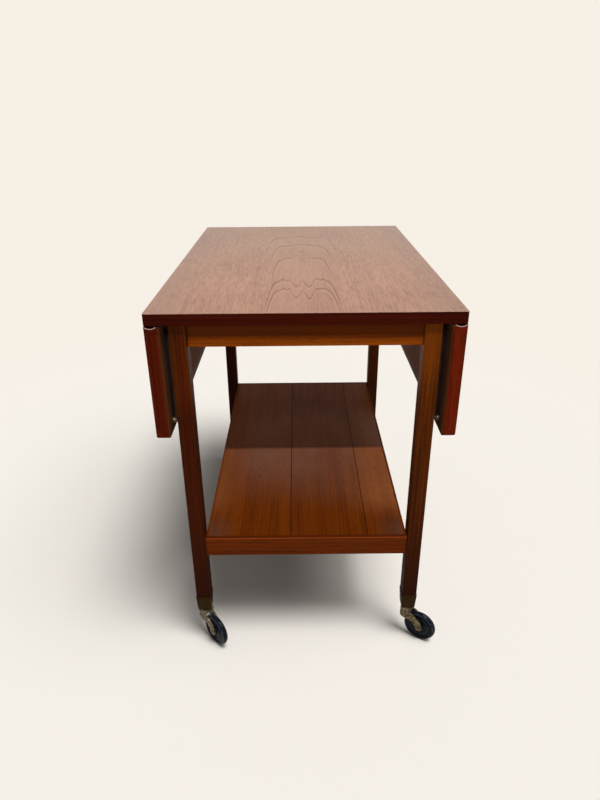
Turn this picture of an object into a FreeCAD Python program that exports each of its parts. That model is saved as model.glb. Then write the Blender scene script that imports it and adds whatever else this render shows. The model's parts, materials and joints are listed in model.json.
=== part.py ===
"""Drop-leaf tea trolley: veneered top with two hanging leaves, square legs, lower shelf, brass casters.

Frame: origin on the floor under the centre of the top, +Z up, +Y along the leaf hinges to the back,
+X to the right. The leaves hang at rest. Each named node is written to parts/NODE.step.
"""

import FreeCAD, Part
import math
import os

Vector = FreeCAD.Vector
X_AXIS = Vector(1, 0, 0)
Y_AXIS = Vector(0, 1, 0)
Z_AXIS = Vector(0, 0, 1)

# ---------------------------------------------------------------- driving dimensions, millimetres

# Top
TOP_WIDTH = 450.0
TOP_LENGTH = 680.0
TOP_HEIGHT = 626.0
TOP_THICKNESS = 18.0
LIPPING = 4.0
CORNER_RADIUS = 3.0
ARRIS_RADIUS = 1.0
JOINT_ARRIS_RADIUS = 1.5

# Leaves and their joint with the top
LEAF_WIDTH = 176.6
LEAF_THICKNESS = 22.5
LEAF_EDGE_RADIUS = 5.0
LEAF_INNER_ARRIS = 4.0
LEAF_EDGE_LIPPING = 12.0
PIVOT_DEPTH = 9.0
JOINT_GAP = 0.4
COVE_CLEARANCE = 0.5

# Legs
LEG_SIZE = 25.0
LEG_ARRIS = 1.5
LEG_SIDE_INSET = 30.0
LEG_END_INSET = 16.5

# Aprons under the top
APRON_HEIGHT = 39.0
APRON_THICKNESS = 18.0
APRON_END_RECESS = 6.0
APRON_SIDE_RECESS = 3.0
APRON_ARRIS = 1.0

# Tenons of aprons and shelf rails
TENON_THICKNESS = 8.0
TENON_LENGTH = 16.0
APRON_TENON_HEIGHT = 14.0
APRON_TENON_MARGIN = 4.0
SHELF_TENON_HEIGHT = 14.0
MORTISE_END_GAP = 0.5

# Corner blocks
BLOCK_LEG = 42.0
BLOCK_HEIGHT = 25.0

# Shelf
SHELF_HEIGHT = 226.4
SHELF_THICKNESS = 18.0
SHELF_RAIL_HEIGHT = 36.0
SHELF_RAIL_THICKNESS = 18.0
SHELF_RAIL_RECESS = 3.0
SHELF_RAIL_LIP = 7.0

# Leaf hinges: a seat let into the underside of the top, a pin, and an arm let into the leaf's edge
HINGE_Y = 250.0
HINGE_PIN_RADIUS = 2.0
HINGE_FIT = 0.04
HINGE_KNUCKLE_RADIUS = 4.0
HINGE_ARM_WIDTH = 12.0
HINGE_ARM_THICKNESS = 3.0
HINGE_ARM_LENGTH = 34.0
HINGE_SIDE_GAP = 0.4
HINGE_EAR = 2.0
HINGE_EAR_CUT = 2.0
HINGE_PLATE_LENGTH = 28.0
HINGE_PLATE_WIDTH = 24.0
HINGE_PLATE = 2.0
POCKET_CLEARANCE = 0.5

# Leaf stays: props on the side aprons that swing up under the raised leaves
STAY_Y = 200.0
STAY_PIVOT_DROP = 60.0
STAY_PIVOT_INSET = 17.8
STAY_LENGTH = 90.0
STAY_WIDTH = 12.0
STAY_THICKNESS = 5.0
STAY_HEAD_RADIUS = 3.8
STAY_EYE_RADIUS = 3.8
STAY_PIN_RADIUS = 2.0
STAY_SIDE_GAP = 0.3
STAY_EAR = 2.0
STAY_EAR_CUT = 2.0
STAY_PLATE = 2.0
STAY_PLATE_WIDTH = 22.0
STAY_PLATE_RISE = 45.0
CLEAT_START = 65.6
CLEAT_LENGTH = 10.0
CLEAT_HEIGHT = 1.5

# Bumpers that keep the hanging leaves off the legs
BUMPER_DROP = 165.0
BUMPER_END_INSET = 21.5
BUMPER_CUP_RADIUS = 4.5
BUMPER_CUP_HEIGHT = 4.0
BUMPER_PAD_RADIUS = 3.2
BUMPER_REST_GAP = 0.3

# Ferrules
FERRULE_BOTTOM = 68.0
FERRULE_HEIGHT = 31.0
FERRULE_PROUD = 1.0
FERRULE_TAPER = 1.5
FERRULE_WALL = 1.0
FERRULE_BASE = 3.0
FERRULE_CHAMFER = 2.0
FERRULE_CORNER = 1.2
SOCKET_RADIUS = 6.5
SOCKET_DEPTH = 32.0
SOCKET_GAP = 0.1

# Casters
WHEEL_RADIUS = 29.3
WHEEL_WIDTH = 10.0
TREAD_FLAT = 4.0
TREAD_RISE = 2.8
WHEEL_HUB_RADIUS = 7.0
HUB_STAND_OFF = 1.5
WHEEL_WEB_RECESS = 1.5
WHEEL_RIM = 2.5
AXLE_RADIUS = 2.5
AXLE_FIT = 0.04
CASTER_TRAIL = 27.3
FORK_CLEARANCE = 2.0
FORK_ARM = 2.2
FORK_EYE_RADIUS = 6.5
CROWN_TOP = 66.4
CROWN_THICKNESS = 5.0
CROWN_FRONT = 11.4
CROWN_BACK = 8.6
CROWN_STEP = 3.0
HORN_SHOULDER = 54.2
HORN_SHOULDER_REACH = 15.2
HORN_BEND = 42.4
HORN_BEND_INSET = 3.4
HORN_THROAT = 40.0
HORN_THROAT_REACH = 14.8
HORN_HEEL = 42.2
HORN_HEEL_RADIUS = 8.0
NECK_RADIUS = 8.0
NECK_GAP = 0.6
STEM_RADIUS = 4.5
STEM_FIT = 0.05
STEM_END_GAP = 2.0

# Where each caster trails at rest, in degrees from +X towards +Y
CASTER_TRAIL_ANGLE = {
    "front_left": -45.7,
    "front_right": -31.5,
    "back_left": 43.0,
    "back_right": 134.3,
}

# ---------------------------------------------------------------- places worked out from the sizes

TOP_SIDE = TOP_WIDTH / 2
TOP_END = TOP_LENGTH / 2
TOP_UNDER = TOP_HEIGHT - TOP_THICKNESS

PIVOT_X = TOP_SIDE - PIVOT_DEPTH
PIVOT_Z = TOP_HEIGHT - PIVOT_DEPTH
LEAF_OUTER = TOP_SIDE
LEAF_INNER = LEAF_OUTER - LEAF_THICKNESS
LEAF_TOP = PIVOT_Z - PIVOT_DEPTH - JOINT_GAP
LEAF_BOTTOM = LEAF_TOP - LEAF_WIDTH
COVE_RADIUS = (
    math.hypot(PIVOT_DEPTH - JOINT_ARRIS_RADIUS, TOP_THICKNESS - PIVOT_DEPTH - JOINT_ARRIS_RADIUS)
    + JOINT_ARRIS_RADIUS
    + COVE_CLEARANCE
)

LEG_OUTER = TOP_SIDE - LEG_SIDE_INSET
LEG_INNER = LEG_OUTER - LEG_SIZE
LEG_X = LEG_OUTER - LEG_SIZE / 2
LEG_END = TOP_END - LEG_END_INSET
LEG_BACK = LEG_END - LEG_SIZE
LEG_Y = LEG_END - LEG_SIZE / 2

APRON_BOTTOM = TOP_UNDER - APRON_HEIGHT
END_APRON_OUTER = LEG_END - APRON_END_RECESS
END_APRON_INNER = END_APRON_OUTER - APRON_THICKNESS
SIDE_APRON_OUTER = LEG_OUTER - APRON_SIDE_RECESS
SIDE_APRON_INNER = SIDE_APRON_OUTER - APRON_THICKNESS

SHELF_UNDER = SHELF_HEIGHT - SHELF_THICKNESS
SHELF_RAIL_BOTTOM = SHELF_HEIGHT - SHELF_RAIL_HEIGHT
SHELF_RAIL_OUTER = LEG_END - SHELF_RAIL_RECESS
SHELF_RAIL_INNER = SHELF_RAIL_OUTER - SHELF_RAIL_THICKNESS
SHELF_PANEL_END = SHELF_RAIL_OUTER - SHELF_RAIL_LIP

FERRULE_TOP = FERRULE_BOTTOM + FERRULE_HEIGHT
LEG_FOOT = FERRULE_BOTTOM + FERRULE_BASE

STAY_PIVOT_X = PIVOT_X - STAY_PIVOT_INSET
STAY_PIVOT_Z = PIVOT_Z - STAY_PIVOT_DROP

FORK_INNER = WHEEL_WIDTH / 2 + FORK_CLEARANCE
FORK_OUTER = FORK_INNER + FORK_ARM
CROWN_BOTTOM = CROWN_TOP - CROWN_THICKNESS

SIDES = {"left": -1, "right": 1}
ENDS = {"front": -1, "back": 1}
CORNERS = {f"{end}_{side}": (SIDES[side], ENDS[end]) for end in ENDS for side in SIDES}

# ---------------------------------------------------------------- helpers


def block(x, y, z):
    """A box given by its (low, high) pairs along X, Y and Z."""
    return Part.makeBox(x[1] - x[0], y[1] - y[0], z[1] - z[0], Vector(x[0], y[0], z[0]))


def rod(radius, start, end):
    """A round bar from start to end."""
    return Part.makeCylinder(radius, (end - start).Length, start, end - start)


def outline(corners, place):
    """A closed wire through corners (a, b, radius), each rounded by its radius.

    place(a, b) gives the point in space.
    """
    runs = []
    count = len(corners)
    for index, (a, b, radius) in enumerate(corners):
        corner = Vector(a, b, 0)
        before = Vector(*corners[index - 1][:2], 0) - corner
        after = Vector(*corners[(index + 1) % count][:2], 0) - corner
        before.normalize()
        after.normalize()
        half_angle = before.getAngle(after) / 2
        setback = radius / math.tan(half_angle)
        middle = before + after
        middle.normalize()
        reach = radius / math.sin(half_angle) - radius
        runs.append((corner + before * setback, corner + middle * reach, corner + after * setback, radius))
    edges = []
    for index, (start, middle, end, radius) in enumerate(runs):
        start, middle, end = (place(point.x, point.y) for point in (start, middle, end))
        if radius:
            edges.append(Part.Arc(start, middle, end).toShape())
        following = runs[(index + 1) % count][0]
        edges.append(Part.LineSegment(end, place(following.x, following.y)).toShape())
    return Part.Wire(edges)


def prism(corners, place, travel):
    """The outline through corners, swept along travel."""
    return Part.Face(outline(corners, place)).extrude(travel)


def rectangle(a, b, radii):
    """Corners of a rectangle over the pairs a and b; radii start at (low a, low b), anticlockwise."""
    points = [(a[0], b[0]), (a[1], b[0]), (a[1], b[1]), (a[0], b[1])]
    return [(*point, radius) for point, radius in zip(points, radii)]


def along_x(corners, x):
    return prism(corners, lambda y, z: Vector(x[0], y, z), X_AXIS * (x[1] - x[0]))


def along_y(corners, y):
    return prism(corners, lambda x, z: Vector(x, y[0], z), Y_AXIS * (y[1] - y[0]))


def along_z(corners, z):
    return prism(corners, lambda x, y: Vector(x, y, z[0]), Z_AXIS * (z[1] - z[0]))


def mirrored(shape, side=1, end=1):
    """The shape of the right back quarter, taken to the given side and end."""
    if side < 0:
        shape = shape.mirror(Vector(), X_AXIS)
    if end < 0:
        shape = shape.mirror(Vector(), Y_AXIS)
    return shape


def both_ends(shape):
    """The shape and its mirror image at the other end, as one group."""
    return [shape, mirrored(shape, end=-1)]


def cut_all(shape, tools):
    for tool in tools:
        shape = shape.cut(tool)
    return shape


# ---------------------------------------------------------------- hinges


def hinge_pocket(y):
    """The room that one hinge seat and its swinging arm take out of the right edge of the top."""
    plate = block(
        (TOP_SIDE - LIPPING - HINGE_PLATE_LENGTH, TOP_SIDE - LIPPING),
        (y - HINGE_PLATE_WIDTH / 2, y + HINGE_PLATE_WIDTH / 2),
        (TOP_UNDER, TOP_UNDER + HINGE_PLATE),
    )
    room = HINGE_KNUCKLE_RADIUS + POCKET_CLEARANCE
    ear_reach = HINGE_ARM_WIDTH / 2 + HINGE_SIDE_GAP + HINGE_EAR
    heights = (TOP_UNDER, PIVOT_Z + room)
    ears = block((PIVOT_X - room, PIVOT_X + room), (y - ear_reach, y + ear_reach), heights)
    slot_reach = HINGE_ARM_WIDTH / 2 + HINGE_SIDE_GAP
    slot = block((PIVOT_X, TOP_SIDE), (y - slot_reach, y + slot_reach), heights)
    return plate.fuse([ears, slot])


def hinge_seat(y):
    """A plate with two ears and the riveted hinge pin, in the thickness of the top."""
    plate = block(
        (TOP_SIDE - LIPPING - HINGE_PLATE_LENGTH, TOP_SIDE - LIPPING),
        (y - HINGE_PLATE_WIDTH / 2, y + HINGE_PLATE_WIDTH / 2),
        (TOP_UNDER, TOP_UNDER + HINGE_PLATE),
    )
    gap = HINGE_ARM_WIDTH / 2 + HINGE_SIDE_GAP
    room = HINGE_KNUCKLE_RADIUS + POCKET_CLEARANCE
    plate = plate.cut(block((PIVOT_X - room, TOP_SIDE), (y - gap, y + gap), (0, TOP_HEIGHT)))
    low, high = PIVOT_X - HINGE_KNUCKLE_RADIUS, PIVOT_X + HINGE_KNUCKLE_RADIUS
    shoulder, crest = PIVOT_Z + HINGE_KNUCKLE_RADIUS - HINGE_EAR_CUT, PIVOT_Z + HINGE_KNUCKLE_RADIUS
    corners = [
        (low, TOP_UNDER, 0),
        (high, TOP_UNDER, 0),
        (high, shoulder, 0),
        (high - HINGE_EAR_CUT, crest, 0),
        (low + HINGE_EAR_CUT, crest, 0),
        (low, shoulder, 0),
    ]
    ears = [
        along_y(corners, (y + gap, y + gap + HINGE_EAR)),
        along_y(corners, (y - gap - HINGE_EAR, y - gap)),
    ]
    return plate.fuse(ears + [hinge_pin(y)]).removeSplitter()


def hinge_pin(y):
    """The pin between the ears of a hinge seat."""
    reach = HINGE_ARM_WIDTH / 2 + HINGE_SIDE_GAP + HINGE_EAR / 2
    return rod(HINGE_PIN_RADIUS, Vector(PIVOT_X, y - reach, PIVOT_Z), Vector(PIVOT_X, y + reach, PIVOT_Z))


def hinge_tongue(y, clearance=0.0):
    """The flat strap of a hinge arm, hanging from the pin into the leaf."""
    half_width = HINGE_ARM_WIDTH / 2 + clearance
    half_thickness = HINGE_ARM_THICKNESS / 2 + clearance
    return block(
        (PIVOT_X - half_thickness, PIVOT_X + half_thickness),
        (y - half_width, y + half_width),
        (PIVOT_Z - HINGE_ARM_LENGTH - clearance, PIVOT_Z),
    )


def hinge_arm(y):
    """A knuckle on the pin with a tongue that is let into the leaf's upper edge."""
    half = HINGE_ARM_WIDTH / 2
    start, end = Vector(PIVOT_X, y - half, PIVOT_Z), Vector(PIVOT_X, y + half, PIVOT_Z)
    arm = rod(HINGE_KNUCKLE_RADIUS, start, end).fuse(hinge_tongue(y)).removeSplitter()
    return arm.cut(rod(HINGE_PIN_RADIUS + HINGE_FIT, start, end))


# ---------------------------------------------------------------- top


def top_form():
    """The outer form of the whole top: three outlines that meet."""
    heights = (TOP_UNDER, TOP_HEIGHT)
    side, end = (-TOP_SIDE, TOP_SIDE), (-TOP_END, TOP_END)
    arris, joint = ARRIS_RADIUS, JOINT_ARRIS_RADIUS
    across = along_y(rectangle(side, heights, (joint, joint, arris, arris)), end)
    lengthwise = along_x(rectangle(end, heights, (arris,) * 4), side)
    plan = along_z(rectangle(side, end, (CORNER_RADIUS,) * 4), heights)
    return across.common(lengthwise).common(plan)


def top_parts():
    form = top_form()
    pockets = [hinge_pocket(y) for y in (HINGE_Y, -HINGE_Y)]
    inner_side, inner_end = TOP_SIDE - LIPPING, TOP_END - LIPPING
    heights = (TOP_UNDER, TOP_HEIGHT)
    panel = form.common(block((-inner_side, inner_side), (-inner_end, inner_end), heights))
    panel = cut_all(panel, pockets + [mirrored(pocket, side=-1) for pocket in pockets])
    right = cut_all(form.common(block((inner_side, TOP_SIDE), (-TOP_END, TOP_END), heights)), pockets)
    back = form.common(block((-inner_side, inner_side), (inner_end, TOP_END), heights))
    return {
        "top_panel": panel,
        "top_lipping_left": mirrored(right, side=-1),
        "top_lipping_right": right,
        "top_lipping_front": mirrored(back, end=-1),
        "top_lipping_back": back,
    }


# ---------------------------------------------------------------- leaves


def leaf_form():
    """The outer form of the hanging right leaf, with the cove that clears the top's lower arris."""
    faces, ends, heights = (LEAF_INNER, LEAF_OUTER), (-TOP_END, TOP_END), (LEAF_BOTTOM, LEAF_TOP)
    edge, arris, inner = LEAF_EDGE_RADIUS, ARRIS_RADIUS, LEAF_INNER_ARRIS
    across = along_y(rectangle(faces, heights, (edge, edge, arris, arris)), ends)
    face = along_x(rectangle(ends, heights, (CORNER_RADIUS,) * 4), faces)
    plan = along_z(rectangle(faces, ends, (inner, arris, arris, inner)), heights)
    form = across.common(face).common(plan)
    start, end = Vector(PIVOT_X, -TOP_END, PIVOT_Z), Vector(PIVOT_X, TOP_END, PIVOT_Z)
    return form.cut(rod(COVE_RADIUS, start, end))


def bumper(radius, low, high):
    """A short round piece on the inner face of the right leaf, over the leg at the back."""
    z = PIVOT_Z - BUMPER_DROP
    y = TOP_END - BUMPER_END_INSET
    return rod(radius, Vector(low, y, z), Vector(high, y, z))


def leaf_fittings():
    """What is fixed to the right leaf besides its wood."""
    cleat_top = PIVOT_Z - CLEAT_START
    cleat_corners = [
        (LEAF_INNER, cleat_top, 0),
        (LEAF_INNER - CLEAT_HEIGHT, cleat_top, 0),
        (LEAF_INNER - CLEAT_HEIGHT, cleat_top - CLEAT_LENGTH / 2, 0),
        (LEAF_INNER, cleat_top - CLEAT_LENGTH, 0),
    ]
    cleat = along_y(cleat_corners, (STAY_Y - STAY_WIDTH / 2, STAY_Y + STAY_WIDTH / 2))
    cup_face = LEAF_INNER - BUMPER_CUP_HEIGHT
    cup = bumper(BUMPER_CUP_RADIUS, cup_face, LEAF_INNER)
    pad = bumper(BUMPER_PAD_RADIUS, LEG_OUTER + BUMPER_REST_GAP, cup_face)
    return {
        "hinge_arms": [hinge_arm(y) for y in (HINGE_Y, -HINGE_Y)],
        "stay_cleats": both_ends(cleat),
        "bumper_cups": both_ends(cup),
        "bumper_pads": both_ends(pad),
    }


def leaf_parts():
    form = cut_all(leaf_form(), [hinge_tongue(y, HINGE_FIT) for y in (HINGE_Y, -HINGE_Y)])
    faces = (LEAF_INNER, LEAF_OUTER)
    upper = LEAF_TOP - LEAF_EDGE_LIPPING
    lower = LEAF_BOTTOM + LEAF_EDGE_LIPPING
    inner_end = TOP_END - LIPPING
    pieces = {
        "panel": block(faces, (-inner_end, inner_end), (lower, upper)),
        "lipping_joint": block(faces, (-TOP_END, TOP_END), (upper, LEAF_TOP)),
        "lipping_free": block(faces, (-TOP_END, TOP_END), (LEAF_BOTTOM, lower)),
        "lipping_front": block(faces, (-TOP_END, -inner_end), (lower, upper)),
        "lipping_back": block(faces, (inner_end, TOP_END), (lower, upper)),
    }
    right = {f"leaf_SIDE_{name}": form.common(piece) for name, piece in pieces.items()}
    right.update({f"{name}_SIDE": solids for name, solids in leaf_fittings().items()})
    parts = {}
    for side_name, side in SIDES.items():
        for name, shape in right.items():
            solids = shape if isinstance(shape, list) else [shape]
            parts[name.replace("SIDE", side_name)] = [mirrored(solid, side) for solid in solids]
    return parts


# ---------------------------------------------------------------- leaf stays


def stay_bracket():
    """A plate on the outer face of the side apron, with two ears and the riveted pin of the stay."""
    plate_face = SIDE_APRON_OUTER + STAY_PLATE
    half = STAY_PLATE_WIDTH / 2
    top = STAY_PIVOT_Z + STAY_PLATE_RISE
    bottom = STAY_PIVOT_Z - STAY_EYE_RADIUS
    plate = block((SIDE_APRON_OUTER, plate_face), (STAY_Y - half, STAY_Y + half), (bottom, top))
    ear_tip = STAY_PIVOT_X + STAY_EYE_RADIUS
    upper = STAY_PIVOT_Z + STAY_EYE_RADIUS
    cut = STAY_EAR_CUT
    corners = [
        (SIDE_APRON_OUTER, bottom, 0),
        (ear_tip - cut, bottom, 0),
        (ear_tip, bottom + cut, 0),
        (ear_tip, upper - cut, 0),
        (ear_tip - cut, upper, 0),
        (SIDE_APRON_OUTER, upper, 0),
    ]
    gap = STAY_WIDTH / 2 + STAY_SIDE_GAP
    ears = [
        along_y(corners, (STAY_Y + gap, STAY_Y + gap + STAY_EAR)),
        along_y(corners, (STAY_Y - gap - STAY_EAR, STAY_Y - gap)),
    ]
    return plate.fuse(ears + [stay_pin()]).removeSplitter()


def stay_pin():
    """The pin between the ears of a stay bracket."""
    reach = STAY_WIDTH / 2 + STAY_SIDE_GAP + STAY_EAR / 2
    start = Vector(STAY_PIVOT_X, STAY_Y - reach, STAY_PIVOT_Z)
    return rod(STAY_PIN_RADIUS, start, start + Y_AXIS * 2 * reach)


def stay():
    """A flat bar that hangs from its pin, with a round eye above and a round head below."""
    start = Vector(STAY_PIVOT_X, STAY_Y - STAY_WIDTH / 2, STAY_PIVOT_Z)
    across = Y_AXIS * STAY_WIDTH
    down = Z_AXIS * -STAY_LENGTH
    eye = rod(STAY_EYE_RADIUS, start, start + across)
    head = rod(STAY_HEAD_RADIUS, start + down, start + down + across)
    half = STAY_THICKNESS / 2
    bar = block(
        (STAY_PIVOT_X - half, STAY_PIVOT_X + half),
        (start.y, start.y + STAY_WIDTH),
        (STAY_PIVOT_Z - STAY_LENGTH, STAY_PIVOT_Z),
    )
    bore = rod(STAY_PIN_RADIUS + HINGE_FIT, start, start + across)
    return bar.fuse([eye, head]).removeSplitter().cut(bore)


# ---------------------------------------------------------------- frame


def end_apron_tenon(gap=0.0):
    """The upper stub tenon of an end apron, at the right back leg."""
    middle = (END_APRON_OUTER + END_APRON_INNER) / 2
    top = TOP_UNDER - APRON_TENON_MARGIN
    half = TENON_THICKNESS / 2
    return block(
        (LEG_INNER, LEG_INNER + TENON_LENGTH + gap),
        (middle - half, middle + half),
        (top - APRON_TENON_HEIGHT, top),
    )


def side_apron_tenon(gap=0.0):
    """The lower stub tenon of a side apron, which passes under the end apron's tenon."""
    middle = (SIDE_APRON_OUTER + SIDE_APRON_INNER) / 2
    bottom = APRON_BOTTOM + APRON_TENON_MARGIN
    half = TENON_THICKNESS / 2
    return block(
        (middle - half, middle + half),
        (LEG_BACK, LEG_BACK + TENON_LENGTH + gap),
        (bottom, bottom + APRON_TENON_HEIGHT),
    )


def shelf_tenon(gap=0.0):
    """The tenon of a shelf rail, below its rebate, at the right back leg."""
    middle = (SHELF_RAIL_OUTER + SHELF_RAIL_INNER) / 2
    half = TENON_THICKNESS / 2
    middle_height = (SHELF_RAIL_BOTTOM + SHELF_UNDER) / 2
    return block(
        (LEG_INNER, LEG_INNER + TENON_LENGTH + gap),
        (middle - half, middle + half),
        (middle_height - SHELF_TENON_HEIGHT / 2, middle_height + SHELF_TENON_HEIGHT / 2),
    )


def square(half, z):
    """A square wire with cut corners about the leg's axis at height z."""
    edge = half - FERRULE_CORNER
    quarter = [Vector(half, -edge, z), Vector(half, edge, z)]
    points = []
    for turn in range(4):
        place = FreeCAD.Placement(Vector(LEG_X, LEG_Y, 0), FreeCAD.Rotation(Z_AXIS, 90 * turn))
        points += [place.multVec(point) for point in quarter]
    return Part.makePolygon(points + points[:1])


def ferrule_half(z, wall=0.0):
    """Half the width of the tapered ferrule at height z, or of its inside."""
    fall = (FERRULE_TOP - z) / FERRULE_HEIGHT
    return LEG_SIZE / 2 + FERRULE_PROUD - FERRULE_TAPER * fall - wall


def foot_form():
    """The tapered end of the leg, which fills the ferrule."""
    foot = square(ferrule_half(LEG_FOOT, FERRULE_WALL), LEG_FOOT)
    shoulder = square(ferrule_half(FERRULE_TOP, FERRULE_WALL), FERRULE_TOP)
    return Part.makeLoft([foot, shoulder], True, True)


def leg():
    """The right back leg: square, with eased arrises, a tapered foot and its mortises."""
    half = LEG_SIZE / 2
    sides = (LEG_X - half, LEG_X + half), (LEG_Y - half, LEG_Y + half)
    corners = rectangle(*sides, (LEG_ARRIS,) * 4)
    post = along_z(corners, (FERRULE_TOP, TOP_UNDER)).fuse(foot_form())
    axis = Vector(LEG_X, LEG_Y, LEG_FOOT)
    bore = rod(SOCKET_RADIUS + SOCKET_GAP, axis, axis + Z_AXIS * (SOCKET_DEPTH + SOCKET_GAP))
    gap = MORTISE_END_GAP
    return cut_all(post, [bore, end_apron_tenon(gap), side_apron_tenon(gap), shelf_tenon(gap)])


def ferrule():
    """A square brass cup on the right back leg, with a socket for the caster's stem."""
    chamfer_top = FERRULE_BOTTOM + FERRULE_CHAMFER
    sections = [
        square(ferrule_half(FERRULE_BOTTOM) - FERRULE_CHAMFER, FERRULE_BOTTOM),
        square(ferrule_half(chamfer_top), chamfer_top),
        square(ferrule_half(FERRULE_TOP), FERRULE_TOP),
    ]
    cup = Part.makeLoft(sections, True, True).cut(foot_form())
    base = Vector(LEG_X, LEG_Y, FERRULE_BOTTOM)
    tube_top = Vector(LEG_X, LEG_Y, LEG_FOOT + SOCKET_DEPTH)
    tube = rod(SOCKET_RADIUS, base, tube_top)
    return cup.fuse(tube).cut(rod(STEM_RADIUS + STEM_FIT, base, tube_top))


def end_apron():
    """The apron across the back, tenoned into both back legs."""
    arris = APRON_ARRIS
    thickness, height = (END_APRON_INNER, END_APRON_OUTER), (APRON_BOTTOM, TOP_UNDER)
    corners = rectangle(thickness, height, (arris, arris, 0, 0))
    rail = along_x(corners, (-LEG_INNER, LEG_INNER))
    return rail.fuse([end_apron_tenon(), mirrored(end_apron_tenon(), side=-1)])


def side_apron():
    """The apron along the right side, tenoned into both right legs."""
    arris = APRON_ARRIS
    thickness, height = (SIDE_APRON_INNER, SIDE_APRON_OUTER), (APRON_BOTTOM, TOP_UNDER)
    corners = rectangle(thickness, height, (arris, arris, 0, 0))
    rail = along_y(corners, (-LEG_BACK, LEG_BACK))
    return rail.fuse([side_apron_tenon(), mirrored(side_apron_tenon(), end=-1)])


def corner_block():
    """A glued block in the right back corner of the frame, notched round the leg."""
    x, y = SIDE_APRON_INNER, END_APRON_INNER
    plan = [(x - BLOCK_LEG, y), (x, y - BLOCK_LEG), (x, LEG_BACK), (LEG_INNER, LEG_BACK), (LEG_INNER, y)]
    return along_z([(*point, 0) for point in plan], (TOP_UNDER - BLOCK_HEIGHT, TOP_UNDER))


def frame_parts():
    parts = {}
    for corner, (side, end) in CORNERS.items():
        parts[f"leg_{corner}"] = mirrored(leg(), side, end)
    for end_name, end in ENDS.items():
        parts[f"apron_{end_name}"] = mirrored(end_apron(), end=end)
    for side_name, side in SIDES.items():
        parts[f"apron_{side_name}"] = mirrored(side_apron(), side)
    parts["ferrules"] = [mirrored(ferrule(), *corner) for corner in CORNERS.values()]
    parts["corner_blocks"] = [mirrored(corner_block(), *corner) for corner in CORNERS.values()]
    parts["hinge_seats"] = [mirrored(hinge_seat(HINGE_Y), *corner) for corner in CORNERS.values()]
    parts["stay_brackets"] = [mirrored(stay_bracket(), *corner) for corner in CORNERS.values()]
    for side_name, side in SIDES.items():
        parts[f"stays_{side_name}"] = [mirrored(stay(), side, end) for end in ENDS.values()]
    return parts


# ---------------------------------------------------------------- shelf


def shelf_parts():
    """The shelf: a panel with lipped sides, resting in the rebates of two deep end rails."""
    heights = (SHELF_UNDER, SHELF_HEIGHT)
    ends = (-SHELF_PANEL_END, SHELF_PANEL_END)
    inner_side = LEG_INNER - LIPPING
    panel = block((-inner_side, inner_side), ends, heights)
    arris = ARRIS_RADIUS
    right = along_y(rectangle((inner_side, LEG_INNER), heights, (0, arris, arris, 0)), ends)
    rail_corners = [
        (SHELF_RAIL_INNER, SHELF_RAIL_BOTTOM, arris),
        (SHELF_RAIL_OUTER, SHELF_RAIL_BOTTOM, arris),
        (SHELF_RAIL_OUTER, SHELF_HEIGHT, arris),
        (SHELF_PANEL_END, SHELF_HEIGHT, 0),
        (SHELF_PANEL_END, SHELF_UNDER, 0),
        (SHELF_RAIL_INNER, SHELF_UNDER, 0),
    ]
    rail = along_x(rail_corners, (-LEG_INNER, LEG_INNER))
    rail = rail.fuse([shelf_tenon(), mirrored(shelf_tenon(), side=-1)])
    return {
        "shelf_panel": panel,
        "shelf_lipping_left": mirrored(right, side=-1),
        "shelf_lipping_right": right,
        "shelf_rail_front": mirrored(rail, end=-1),
        "shelf_rail_back": rail,
    }


# ---------------------------------------------------------------- casters
# Each caster is made with its swivel axis on Z and its wheel trailing along +X, then put under its leg.


def fork_outline():
    """Corners of the fork's side view: a crown, and a horn that sweeps out and down to the axle's eye."""
    eye = FORK_EYE_RADIUS
    eye_front, eye_back, eye_bottom = CASTER_TRAIL + eye, CASTER_TRAIL - eye, WHEEL_RADIUS - eye
    crown = [
        (-CROWN_BACK, CROWN_TOP, 1.5),
        (CROWN_FRONT, CROWN_TOP, 2.5),
        (CROWN_FRONT, CROWN_BOTTOM, 1.0),
        (CROWN_FRONT - CROWN_STEP, HORN_SHOULDER + 1.8, 2.5),
    ]
    horn = [
        (HORN_SHOULDER_REACH, HORN_SHOULDER, 10.0),
        (eye_front - HORN_BEND_INSET, HORN_BEND, 8.0),
        (eye_front, WHEEL_RADIUS + 2.7, 6.0),
        (eye_front, eye_bottom, eye - 0.1),
        (eye_back, eye_bottom, eye - 0.1),
        (eye_back, WHEEL_RADIUS + 1.7, 4.0),
        (HORN_THROAT_REACH, HORN_THROAT, 3.0),
        (-CROWN_BACK, HORN_HEEL, HORN_HEEL_RADIUS),
    ]
    return crown + horn


def caster_fork():
    """A cast horn fork with its stem and the axle between its eyes."""
    cheeks = along_y(fork_outline(), (-FORK_OUTER, FORK_OUTER))
    far = CASTER_TRAIL + WHEEL_RADIUS
    fork = cheeks.cut(block((-far, far), (-FORK_INNER, FORK_INNER), (0, CROWN_BOTTOM)))
    neck_top = FERRULE_BOTTOM - NECK_GAP
    neck = rod(NECK_RADIUS, Z_AXIS * CROWN_TOP, Z_AXIS * neck_top)
    stem_top = LEG_FOOT + SOCKET_DEPTH - STEM_END_GAP
    stem = rod(STEM_RADIUS, Z_AXIS * CROWN_TOP, Z_AXIS * stem_top)
    axle_reach = FORK_INNER + FORK_ARM / 2
    axle_start = Vector(CASTER_TRAIL, -axle_reach, WHEEL_RADIUS)
    axle = rod(AXLE_RADIUS, axle_start, axle_start + Y_AXIS * 2 * axle_reach)
    fork = fork.fuse([neck, stem, axle])
    return fork.removeSplitter()


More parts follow.
